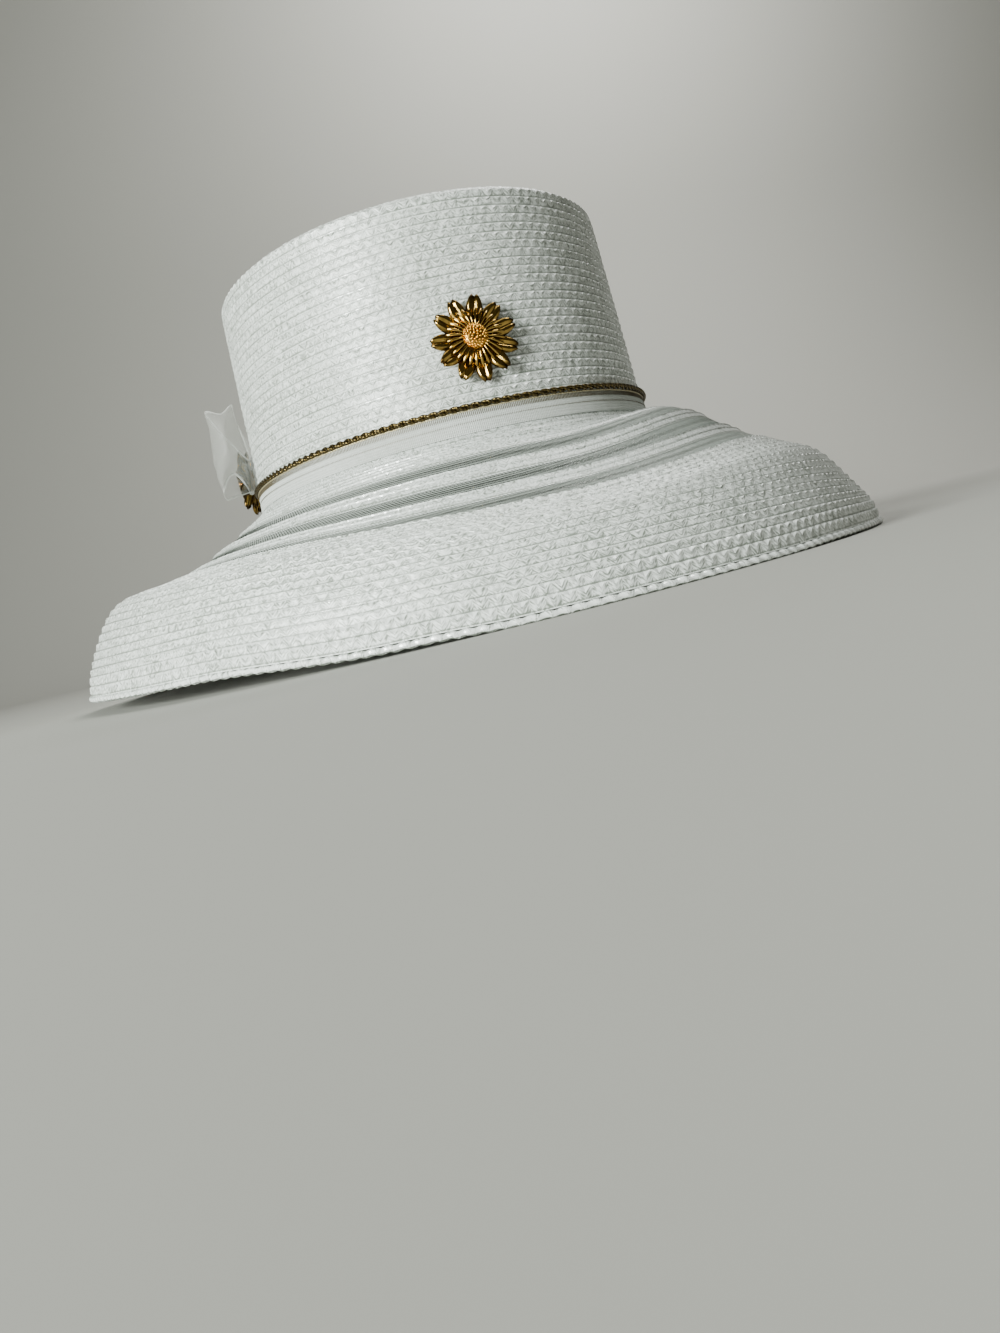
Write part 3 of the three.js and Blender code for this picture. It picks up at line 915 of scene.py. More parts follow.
@dataclass(frozen=True)
class PlateFinish:
    """Polished or grained gold plate, with tarnishing in patches and with darker rims and tips as a
    painted dark reflection.
    """

    name: str
    bright: tuple[float, float, float]
    tarnish_and_reflection_colour: tuple[float, float, float]
    polish: float
    # How far the rims and tips darken: painted dark reflection.
    rim: float = 0.9
    patches: float = 260.0
    relief: float = 0.00002

    def material(self, workshop: Workshop) -> bpy.types.Material:
        """Builds the material.

        Args:
            workshop: The shared node groups.

        Returns:
            The material.
        """
        material, n, shader = start_material(self.name)
        group = n.add("Group", node_tree=workshop.tarnish_and_reflection)
        group.inputs["Patches"].default_value = self.patches
        group.inputs["Polish"].default_value = self.polish
        group.inputs["RimReflection"].default_value = self.rim
        colour = n.add(
            "Mix",
            {
                0: group.outputs["TarnishAndRimReflection"],
                6: (*self.bright, 1.0),
                7: (*self.tarnish_and_reflection_colour, 1.0),
            },
            data_type="RGBA",
        ).outputs[2]
        links = material.node_tree.links
        links.new(colour, shader.inputs["Base Color"])
        links.new(group.outputs["Roughness"], shader.inputs["Roughness"])
        bump = n.add(
            "Bump", {"Height": group.outputs["Height"], "Distance": self.relief, "Strength": 1.0}
        )
        links.new(bump.outputs[0], shader.inputs["Normal"])
        shader.inputs["Metallic"].default_value = 1.0
        return material


@dataclass(frozen=True)
class OrganzaFinish:
    """Crisp sheer cloth: mostly see-through, with a finer weave and denser selvedges."""

    name: str = "sheer_organza"
    colour: tuple[float, float, float] = (0.74, 0.75, 0.72)
    body_alpha: float = 0.1
    edge_alpha: float = 0.4
    threads: float = 1500.0
    relief: float = 0.00004
    roughness: float = 0.35
    sheen: float = 0.3

    def material(self) -> bpy.types.Material:
        """Builds the material.

        Returns:
            The material.
        """
        material, n, shader = start_material(self.name)
        pattern = n.add("UVMap", uv_map="pattern").outputs[0]
        apart = n.add("SeparateXYZ", {0: pattern})
        edge = n.math("ABSOLUTE", n.math("SUBTRACT", apart.outputs[1], 0.5))
        selvedge = n.ramp(edge, 0.465, 0.485)
        warp = n.math("SINE", n.math("MULTIPLY", apart.outputs[0], self.threads))
        weft = n.math("SINE", n.math("MULTIPLY", apart.outputs[1], self.threads / 3))
        weave = n.math("MULTIPLY", n.math("ADD", warp, weft), 0.08)
        body = n.math("ADD", weave, self.body_alpha)
        alpha = n.add("Mix", {0: selvedge, 2: body, 3: self.edge_alpha}).outputs[0]
        links = material.node_tree.links
        links.new(alpha, shader.inputs["Alpha"])
        bump = n.add("Bump", {"Height": weave, "Distance": self.relief, "Strength": 1.0})
        links.new(bump.outputs[0], shader.inputs["Normal"])
        shader.inputs["Base Color"].default_value = (*self.colour, 1.0)
        shader.inputs["Roughness"].default_value = self.roughness
        shader.inputs["Sheen Weight"].default_value = self.sheen
        return material


# Braid


@dataclass(frozen=True)
class Plait:
    """One row of flat braid, sewn down with its upper edge on top of the row before it.

    The upper edge runs in rounded lobes. Between two lobes a strand dips in a small
    three-cornered notch that catches the light. Heights are from the hat's outer surface.
    """

    row: float = 3.2
    stations: int = 6
    lobe_edge: float = -0.22
    notch_edge: float = -0.1
    lobe_fold: float = 0.2
    notch_fold: float = 0.84
    notch_shape: float = 0.85
    notch_spread: float = 0.3
    valley: float = -0.4
    crest: float = 0.2
    notch_crest: float = 0.14
    shoulder_run: float = 0.36
    shoulder: float = -0.08
    low: float = -0.32
    cushion: float = 0.035
    unevenness: float = 0.18
    drift: float = 0.12
    crest_unevenness: float = 0.12
    # A row is lowest at this share of it. A last row runs on past its end and drops further.
    lowest: float = 0.8
    overhang: float = 0.08
    end_drop: float = 0.1
    # A closed band's underside starts this far from its edge, and never passes the slit.
    underside_start: float = 0.1
    slit_gap: float = 0.02
    # The lining has two rings a row, at these shares of it, and rises at its edges and seams.
    lining_seam: float = 0.15
    lining_belly: float = 0.92
    lining_edge: float = 0.4
    lining_rise: float = 0.3

    def rings(
        self, cells: int, last: bool, shift: int, rng: np.random.Generator
    ) -> tuple[np.ndarray, np.ndarray]:
        """Lays out one row over its stations.

        Args:
            cells: How many plaits there are round the row.
            last: Whether the row ends with an edge of its own.
            shift: How many stations its plaits are moved along.
            rng: The source of its unevenness.

        Returns:
            Distances from the row's start, and heights.
        """
        step = np.arange(cells * self.stations) + shift
        cell = step // self.stations % cells
        place = step % self.stations / self.stations
        uneven = 1 + self.unevenness * np.clip(rng.standard_normal(cells), -2, 2)[cell]
        notch = np.maximum(0, 1 - np.abs(place - 0.5) / self.notch_spread)
        arch = np.cos(2 * np.pi * place)
        edge = self.lobe_edge + (self.notch_edge - self.lobe_edge) * notch
        depth = notch**self.notch_shape * uneven
        fold = self.lobe_fold + (self.notch_fold - self.lobe_fold) * depth
        crest = self.crest + (self.notch_crest - self.crest) * notch
        flat = np.ones(len(step))
        distances = [edge, fold, fold + self.shoulder_run, self.lowest * self.row * flat]
        heights = [
            self.valley * flat,
            crest + self.crest_unevenness * (uneven - 1),
            self.shoulder - self.cushion * arch,
            self.low - self.cushion * arch,
        ]
        if last:
            distances.append((self.row + self.overhang) * flat)
            heights.append((self.valley - self.end_drop) * flat)
        return np.array(distances), np.array(heights)

    def sheet(
        self,
        work: Work,
        surface: Surface,
        start: float,
        rows: int,
        cells: int,
        thickness: float,
        seed: int,
        hem: float = 0.0,
    ) -> None:
        """Works a closed sheet of rows into a piece.

        Args:
            work: The piece.
            surface: The surface that the rows follow.
            start: Distance of the first row's edge.
            rows: How many rows.
            cells: How many plaits there are round each row.
            thickness: The sheet's thickness.
            seed: Seed of its unevenness.
            hem: Length of plain cloth after the last row.
        """
        rng = np.random.default_rng(seed)
        end = start + rows * self.row
        azimuths = even_azimuths(surface, (start + end) / 2, cells * self.stations)
        distances, heights, places, shift = [], [], [], 0
        for k in range(rows):
            shift += int(rng.integers(2, 5))
            run, rise = self.rings(cells, k == rows - 1, shift, rng)
            waves, turn = rng.integers(2, 6), rng.uniform(0, 2 * np.pi)
            drift = self.drift * np.sin(np.radians(azimuths) * waves + turn) * (k > 0)
            distances.append(start + k * self.row + run + drift)
            heights.append(rise)
            places += [shift / self.stations] * len(run)
        if hem:
            distances.append(np.full((1, len(azimuths)), end + hem))
            heights.append(np.full((1, len(azimuths)), self.valley))
            places.append(places[-1])
        distance, height = np.concatenate(distances), np.concatenate(heights)
        points = raised(surface, np.broadcast_to(azimuths, distance.shape), distance, height)
        u = np.array(places)[:, None] + np.arange(len(azimuths) + 1) / self.stations
        outside = work.add_rings(points, u, (distance - start) / self.row)
        coarse = azimuths[:: self.stations // 2]
        across, depth = [start + self.lobe_edge], [self.lining_edge - thickness]
        parts = (self.lining_seam, self.lining_belly)
        for k in range(rows):
            across += [start + (k + part) * self.row for part in parts]
            depth += [self.lining_rise - thickness, -thickness]
        across.append(end + max(hem, self.overhang))
        depth.append(self.lining_rise - thickness)
        shape = (len(across), len(coarse))
        across = np.broadcast_to(np.array(across)[::-1, None], shape)
        depth = np.broadcast_to(np.array(depth)[::-1, None], shape)
        lining = raised(surface, np.broadcast_to(coarse, shape), across, depth)
        u = np.arange(len(coarse) + 1) / 2
        inside = work.add_rings(lining, u, (across - start) / self.row)
        work.bridge(outside[0], inside[-1], True)
        work.bridge(outside[-1], inside[0], False)

    def loop(
        self, work: Work, surface: Surface, start: float, cells: int, thickness: float, seed: int
    ) -> None:
        """Works one row into a piece as a closed band of its own.

        Args:
            work: The piece.
            surface: The surface that the row follows.
            start: Distance of the row's edge.
            cells: How many plaits there are round it.
            thickness: The band's thickness.
            seed: Seed of its unevenness.
        """
        rng = np.random.default_rng(seed)
        azimuths = even_azimuths(surface, start + self.row / 2, cells * self.stations)
        shift = int(rng.integers(self.stations))
        run, rise = self.rings(cells, True, shift, rng)
        under = np.ones((1, len(azimuths)))
        distance = start + np.concatenate(
            [run, (self.row + self.overhang) * under, self.underside_start * under]
        )
        height = np.concatenate([rise, -thickness * under, -thickness * under])
        distance = np.maximum(distance, self.slit_gap)
        points = raised(surface, np.broadcast_to(azimuths, distance.shape), distance, height)
        grid = wrapped(work.add_points(points))
        u = (np.arange(len(azimuths) + 1) + shift) / self.stations
        v = (np.concatenate([distance, distance[:1]]) - start) / self.row
        work.add_grid(grid, np.broadcast_to(u, grid.shape), np.concatenate([v, v[:, :1]], 1))


# The collar's and strips' braid, whose edge stands up in a plain ridge.
RIDGED = Plait(
    lobe_edge=-0.24,
    notch_edge=-0.16,
    lobe_fold=0.2,
    notch_fold=0.42,
    crest=0.3,
    notch_crest=0.28,
    shoulder_run=0.34,
    shoulder=-0.1,
    cushion=0.0,
    valley=-0.5,
    unevenness=0.3,
)


def tube_rings(work: Work, rings: np.ndarray, ends: bool) -> None:
    """Works a tube into a piece from its rings.

    Args:
        work: The piece.
        rings: Points, with the side of the tube first and the place along it second.
        ends: Whether the tube has two ends to close, or else joins up with itself.
    """
    numbers = work.add_points(rings)
    grid = np.concatenate([numbers, numbers[:1]])
    if not ends:
        grid = np.concatenate([grid, grid[:, :1]], 1)
    v = np.broadcast_to((np.arange(len(grid)) / len(rings))[:, None], grid.shape)
    u = np.broadcast_to(np.arange(grid.shape[1]) / grid.shape[1], grid.shape)
    work.add_grid(grid, u, v)
    if ends:
        work.add_faces(numbers[:, 0][None, :])
        work.add_faces(numbers[::-1, -1][None, :])


def thread(work: Work, line: np.ndarray, radius: float, sides: int, closed: bool) -> None:
    """Works one round thread into a piece.

    Args:
        work: The piece.
        line: The points that it follows.
        radius: Its radius.
        sides: Sides of the tube.
        closed: Whether it joins up with itself.
    """
    if closed:
        along = np.roll(line, -1, 0) - np.roll(line, 1, 0)
    else:
        along = np.gradient(line, axis=0)
    along /= np.linalg.norm(along, axis=1, keepdims=True)
    side = np.cross(along, [0.0, 0.0, 1.0])
    side /= np.maximum(np.linalg.norm(side, axis=1, keepdims=True), 1e-9)
    up = np.cross(side, along)
    turn = (2 * np.pi * np.arange(sides) / sides)[:, None, None]
    tube_rings(work, line[None] + radius * (np.cos(turn) * side + np.sin(turn) * up), not closed)


# Crown


@dataclass(frozen=True)
class Crown:
    """The crown: rows of braid worked out from a slit over the tip, then down the side."""

    form: HatForm
    side_rows: int = 25
    side_cells: int = 126
    side_hem: float = 6.4
    tip_rows: int = 24
    plait_length: float = 4.6
    thickness: float = 1.5
    side_seed: int = 11
    tip_seed: int = 40

    def side(self) -> bpy.types.Object:
        """Builds the side, with a plain hem under the band.

        Returns:
            The new object.
        """
        row = (self.form.side_length - self.side_hem) / self.side_rows
        work = Work()
        Plait(row=row).sheet(
            work,
            self.form.crown_side,
            0.0,
            self.side_rows,
            self.side_cells,
            self.thickness,
            seed=self.side_seed,
            hem=self.side_hem,
        )
        return work.mesh("crown_side")

    def tip(self) -> bpy.types.Object:
        """Builds the tip, row by row from the slit.

        Returns:
            The new object.
        """
        row = self.form.tip_reach / self.tip_rows
        plait = Plait(row=row)
        work = Work()
        for k in range(self.tip_rows):
            length = ring_length(self.form.crown_tip, (k + 0.6) * row)
            cells = max(8, round(length / self.plait_length))
            seed = self.tip_seed + k
            plait.loop(work, self.form.crown_tip, k * row, cells, self.thickness, seed)
        return work.mesh("crown_tip")

    def build(self, braid: bpy.types.Material) -> None:
        """Builds and dresses the crown.

        Args:
            braid: The braid's material.
        """
        for piece in (self.side(), self.tip()):
            dress(piece, braid, ["crown"], smooth=BRAID_EDGE)


# Band


@dataclass(frozen=True)
class HatBand:
    """The ribbon round the crown's foot, with its ladder stitch, edging and twisted cord."""

    form: HatForm
    low: float = 64.35
    high: float = 72.0
    inner: float = 0.3
    outer: float = 0.86
    rib_depth: float = 0.13
    rib_pitch: float = 0.67
    selvedge_round: float = 0.1
    low_selvedge: float = 0.25
    high_selvedge: float = 0.2
    belly: float = 0.05
    ladder_low: float = 70.1
    ladder_high: float = 71.8
    dots_height: float = 67.9
    dot_size: float = 0.42
    stitch_width: float = 0.27
    stitch_depth: float = 0.2
    stitch_rise: float = 0.07
    edging_radius: float = 0.3
    edging_rise: float = 0.1
    edging_inset: float = 0.15
    edging_points: int = 480
    cord_height: float = 73.35
    cord_offset: float = 1.3
    cord_lay: float = 7.4
    steps_per_lay: int = 12
    ply_radius: float = 0.6
    helix_radius: float = 0.56

    def ring(self, height: float, offset: float) -> Surface:
        """Gives one ring round the crown as a surface of its own."""
        return lambda azimuth, distance: self.form.wall(azimuth, height, offset)

    @property
    def ribs(self) -> int:
        """How many ribs run round the ribbon."""
        middle = (self.low + self.high) / 2
        return round(ring_length(self.ring(middle, self.outer), 0) / self.rib_pitch)

    def azimuths(self, count: int) -> np.ndarray:
        """Spaces azimuths evenly round the crown's foot."""
        return even_azimuths(self.ring(self.high, self.outer), 0, count)

    def ribbon(self) -> bpy.types.Object:
        """Builds the ribbed ribbon.

        Returns:
            The new object.
        """
        count = 2 * self.ribs
        azimuths = self.azimuths(count)
        ribbed = self.rib_depth * (np.arange(count) % 2)
        section = [
            (self.low, self.inner, 0),
            (self.low, self.outer - self.selvedge_round, 1),
            (self.low + self.low_selvedge, self.outer, 1),
            (self.dots_height, self.outer + self.belly, 1),
            (self.ladder_low, self.outer, 1),
            (self.high - self.high_selvedge, self.outer, 1),
            (self.high, self.outer - self.selvedge_round, 1),
            (self.high, self.inner, 0),
        ]
        rings = [self.form.wall(azimuths, z, off - ribbed * rib) for z, off, rib in section]
        work = Work()
        grid = wrapped(work.add_points(np.array(rings)))
        u = np.broadcast_to(np.arange(count + 1) / 2, grid.shape)
        v = np.array([z for z, _, _ in section] + [self.low])[:, None]
        work.add_grid(grid, u, np.broadcast_to(v, grid.shape))
        return work.mesh("ribbon_grosgrain")

    def stitches(self) -> bpy.types.Object:
        """Builds the ladder stitch under the ribbon's edge, and the finer row below it, as dark
        bars that stand in for the shaded gaps between the stitches: painted shade.

        Returns:
            The new object.
        """
        middles = self.azimuths(self.ribs)
        girth = ring_length(self.ring(self.high, self.outer), 0)
        half = 180 * self.stitch_width / girth
        rows = [
            (self.ladder_low, self.ladder_high),
            (self.dots_height, self.dots_height + self.dot_size),
        ]
        work = Work()
        for low, high in rows:
            corners = []
            for off in (self.outer - self.stitch_depth, self.outer + self.stitch_rise):
                for z, side in ((low, -1), (low, 1), (high, 1), (high, -1)):
                    corners.append(self.form.wall(middles + side * half, z, off))
            box = work.add_points(np.array(corners)).T
            for face in BOX_FACES:
                work.add_faces(box[:, list(face)])
        return work.mesh("ribbon_ladder_gap_shade")

    def edging(self) -> bpy.types.Object:
        """Builds the pale thread along the ribbon's upper edge.

        Returns:
            The new object.
        """
        work = Work()
        azimuths = self.azimuths(self.edging_points)
        height, offset = self.high + self.edging_rise, self.outer - self.edging_inset
        line = self.form.wall(azimuths, height, offset)
        thread(work, line, self.edging_radius, sides=6, closed=True)
        return work.mesh("ribbon_edging")

    def cord(self) -> bpy.types.Object:
        """Builds the cord of two plies, laid round each other.

        Returns:
            The new object.
        """
        middle = self.ring(self.cord_height, self.cord_offset)
        count = round(ring_length(middle, 0) / self.cord_lay) * self.steps_per_lay
        azimuths = even_azimuths(middle, 0, count)
        work = Work()
        for ply in range(2):
            angle = -2 * np.pi * (np.arange(count) / self.steps_per_lay + ply / 2)
            line = self.form.wall(
                azimuths,
                self.cord_height + self.helix_radius * np.sin(angle),
                self.cord_offset + self.helix_radius * np.cos(angle),
            )
            thread(work, line, self.ply_radius, sides=8, closed=True)
        return work.mesh("gold_cord_plies")

    def build(
        self,
        ribbon: bpy.types.Material,
        stitch: bpy.types.Material,
        edging: bpy.types.Material,
        cord: bpy.types.Material,
    ) -> None:
        """Builds and dresses the band.

        Args:
            ribbon: The ribbon's material.
            stitch: The ladder stitch's.
            edging: The pale edging thread's.
            cord: The twisted cord's.
        """
        dress(self.ribbon(), ribbon, ["ribbon_band"])
        dress(self.stitches(), stitch, ["ribbon_band"])
        dress(self.edging(), edging, ["ribbon_band"], smooth=THREAD_EDGE)
        dress(self.cord(), cord, ["gold_cord"], smooth=THREAD_EDGE)


# Brim


@dataclass(frozen=True)
class Brim:
    """The brim: a braid collar, three see-through bands between strips, and solid braid."""

    form: HatForm
    collar_width: float = 19.2
    net_width: float = 7.8
    strip_width: float = 6.9
    plait_length: float = 4.6
    thickness: float = 1.5
    collar_rows: int = 6
    strip_rows: int = 2
    braid_rows: int = 15
    rim_row: float = 3.7
    rim_rows: int = 2
    edge_gap: float = 2.5
    edge_cells: int = 236
    net_pitch: float = 1.35
    net_thread: float = 0.17
    net_tuck: float = 0.8
    net_depth: float = 0.55
    net_crossing: float = 1.6
    net_points: int = 6
    roll_radius: float = 1.08
    roll_inset: float = 0.8
    roll_swell: float = 0.2
    table_gap: float = 0.02

    def cells(self, distance: float) -> int:
        """Says how many plaits fit round the brim at a distance from the crown."""
        return round(ring_length(self.form.brim, distance) / self.plait_length)

    def band(
        self, name: str, plait: Plait, start: float, end: float, rows: int, seed: int
    ) -> bpy.types.Object:
        """Builds a band of braid rows.

        Args:
            name: The piece's name.
            plait: The kind of braid.
            start: Where it starts, from the crown's foot.
            end: Where it ends.
            rows: How many rows.
            seed: Seed of its unevenness.

        Returns:
            The new object.
        """
        work = Work()
        cells = self.cells((start + end) / 2)
        replace(plait, row=(end - start) / rows).sheet(
            work, self.form.brim, start, rows, cells, self.thickness, seed=seed
        )
        return work.mesh(name)

    def rim_band(self, start: float) -> bpy.types.Object:
        """Builds the last rows, of a wider braid with open lobes.

        Args:
            start: Where they start, from the crown's foot.

        Returns:
            The new object.
        """
        work = Work()
        plait = Plait(
            row=self.rim_row,
            lobe_edge=-0.45,
            notch_fold=1.5,
            shoulder_run=0.6,
            cushion=0.14,
            crest=0.2,
            notch_crest=0.1,
            shoulder=0.02,
        )
        plait.sheet(
            work, self.form.brim, start, self.rim_rows, self.edge_cells, self.thickness, seed=95
        )
        return work.mesh("brim_rim_rows")

    def net(self, name: str, start: float) -> bpy.types.Object:
        """Builds a see-through band of threads that cross on the bias.

        Args:
            name: The piece's name.
            start: Where it starts, from the crown's foot.

        Returns:
            The new object.
        """
        middle = start + self.net_width / 2
        girth = ring_length(self.form.brim, middle)
        count = round(girth / self.net_pitch)
        dense = np.append(even_azimuths(self.form.brim, middle, RING_STEPS), 540.0)
        place = np.arange(count) / count * RING_STEPS
        half = self.net_width / 2 + self.net_tuck
        reach = np.linspace(-half, half, self.net_points)
        lower = self.net_depth + self.net_crossing * self.net_thread
        work = Work()
        for lean, depth in ((1, self.net_depth), (-1, lower)):
            shifted = (place[:, None] + lean * reach[None] * RING_STEPS / girth) % RING_STEPS
            azimuths = np.interp(shifted, np.arange(RING_STEPS + 1), dense)
            distance = np.broadcast_to(middle + reach, azimuths.shape)
            lines = raised(self.form.brim, azimuths, distance, np.full(azimuths.shape, -depth))
            for line in lines:
                thread(work, line, self.net_thread, sides=3, closed=False)
        return work.mesh(name)

    def edge(self) -> bpy.types.Object:
        """Builds the rolled edge, with the plaits that wrap it.

        Returns:
            The new object.
        """
        steps, sides = 6, 10
        count = self.edge_cells * steps
        inset = self.form.rim_half_width - self.roll_inset
        length, squareness = self.form.rim_half_length, self.form.rim_squareness

        def level_rim(azimuth: np.ndarray, distance: np.ndarray) -> np.ndarray:
            """Gives the rim's oval, level, at any distance."""
            x, y = self.form.oval(inset, length, squareness, azimuth)
            return np.stack(np.broadcast_arrays(x, y, 0.0), -1)

        azimuths = even_azimuths(level_rim, 0, count)
        rim = self.form.brim(azimuths, np.full(count, self.form.brim_length))[:, 2]
        rings = []
        for k in range(sides):
            angle = 2 * np.pi * k / sides
            swell = 1 + self.roll_swell * np.cos(2 * np.pi * np.arange(count) / steps + angle)
            radius = self.roll_radius * swell
            off = -self.roll_inset + radius * np.cos(angle)
            half_width, half_length = self.form.rim_half_width + off, length + off
            x, y = self.form.oval(half_width, half_length, squareness, azimuths)
            z = np.maximum(rim + self.roll_radius + radius * np.sin(angle), self.table_gap)
            rings.append(np.stack([x, y, z], -1))
        work = Work()
        grid = wrapped(work.add_points(np.array(rings)))
        u = np.broadcast_to(np.arange(count + 1) / steps, grid.shape)
        v = np.broadcast_to((np.arange(sides + 1) / sides)[:, None], grid.shape)
        work.add_grid(grid, u, v)
        return work.mesh("brim_rolled_edge")

    def build(
        self, braid: bpy.types.Material, ridges: bpy.types.Material, threads: bpy.types.Material
    ) -> None:
        """Builds and dresses the brim.

        Args:
            braid: The lobed braid's material.
            ridges: The ridged braid's material.
            threads: The see-through bands' material.
        """
        net, strip = self.net_width, self.strip_width
        collar_start, inner_net, inner_strip, middle_net, outer_strip, outer_net, braid_start = (
            np.cumsum([0.0, self.collar_width, net, strip, net, strip, net])
        )
        rim_start = self.form.brim_length - self.edge_gap - self.rim_rows * self.rim_row
        collar_rows, strip_rows = self.collar_rows, self.strip_rows
        ridged = [
            ("brim_collar_braid", collar_start, inner_net, collar_rows, 60, "brim_collar"),
            ("strip_braid_inner", inner_strip, middle_net, strip_rows, 70, "braid_strip_inner"),
            ("strip_braid_outer", outer_strip, outer_net, strip_rows, 80, "braid_strip_outer"),
        ]
        for name, start, end, rows, seed, node in ridged:
            piece = self.band(name, RIDGED, start, end, rows, seed)
            dress(piece, ridges, [node], smooth=BRAID_EDGE)
        lobed = [
            (self.band("brim_braid", Plait(), braid_start, rim_start, self.braid_rows, 90), "brim"),
            (self.rim_band(rim_start), "brim"),
            (self.edge(), "brim_edge"),
        ]
        for piece, node in lobed:
            dress(piece, braid, [node], smooth=BRAID_EDGE)
        for name, start in (("inner", inner_net), ("middle", middle_net), ("outer", outer_net)):
            piece = self.net(f"net_{name}", start)
            dress(piece, threads, [f"sheer_band_{name}"], smooth=THREAD_EDGE)


# Daisies


def on_wall(form: HatForm, azimuth: float, height: float, stand_off: float) -> np.ndarray:
    """Gives a place on the crown's wall.

    Args:
        form: The hat's form.
        azimuth: Degrees from the front.
        height: Millimetres above the table.
        stand_off: How far the place stands off the wall.

    Returns:
        A 4 by 4 matrix in millimetres, with Y up the wall and Z out.
    """
    here = form.wall(np.float64(azimuth), np.float64(height))
    up = form.wall(np.float64(azimuth), np.float64(height + 1)) - here
    side = form.wall(np.float64(azimuth + 1), np.float64(height)) - form.wall(
        np.float64(azimuth - 1), np.float64(height)
    )
    side /= np.linalg.norm(side)
    out = np.cross(side, up)
    out /= np.linalg.norm(out)
    place = np.eye(4)
    place[:3, :4] = np.stack([side, np.cross(out, side), out, here + stand_off * out], -1)
    return place


def shaped(
    piece: bpy.types.Object, form: Callable[[np.ndarray], np.ndarray]
) -> bpy.types.Object:
    """Moves every point of a new primitive to its shape.

    Args:
        piece: The primitive.
        form: Takes the primitive's points and gives them in millimetres.

    Returns:
        The same object.
    """
    points = np.empty(len(piece.data.vertices) * 3)
    piece.data.vertices.foreach_get("co", points)
    piece.data.vertices.foreach_set("co", (form(points.reshape(-1, 3)) * MM).ravel())
    piece.data.update()
    return piece


def modified(piece: bpy.types.Object, kind: str, **settings: object) -> bpy.types.Object:
    """Adds a modifier to a piece and applies it.

    Args:
        piece: The piece.
        kind: The modifier's type.
        settings: Its settings.

    Returns:
        The same object.
    """
    modifier = piece.modifiers.new(kind.lower(), kind)
    for key, value in settings.items():
        setattr(modifier, key, value)
    select_only(piece)
    bpy.ops.object.modifier_apply(modifier=modifier.name)
    return piece


def moved(piece: bpy.types.Object, place: np.ndarray) -> bpy.types.Object:
    """Moves a piece's mesh.

    Args:
        piece: The piece.
        place: A 4 by 4 matrix in millimetres.

    Returns:
        The same object.
    """
    metres = Matrix(place.tolist())
    metres.translation *= MM
    piece.data.transform(metres)
    return piece


def copied(
    piece: bpy.types.Object, count: int, first: float, tilts: Sequence[float] = (0.0,)
) -> list[bpy.types.Object]:
    """Sets copies of a piece in a ring round Z, each with its own mesh.

    Args:
        piece: The piece, which becomes the first of them.
        count: How many there are.
        first: Degrees that the first one is turned.
        tilts: Degrees that they are tilted, one after the other.

    Returns:
        All of them.
    """
    pieces = [piece]
    for _ in range(count - 1):
        twin = piece.copy()
        twin.data = piece.data.copy()
        bpy.context.scene.collection.objects.link(twin)
        pieces.append(twin)
    for i, each in enumerate(pieces):
        tilt = Matrix.Rotation(math.radians(tilts[i % len(tilts)]), 4, "Y")
        turn = Matrix.Rotation(math.radians(first + 360 * i / count), 4, "Z")
        each.data.transform(turn @ tilt)
    return pieces


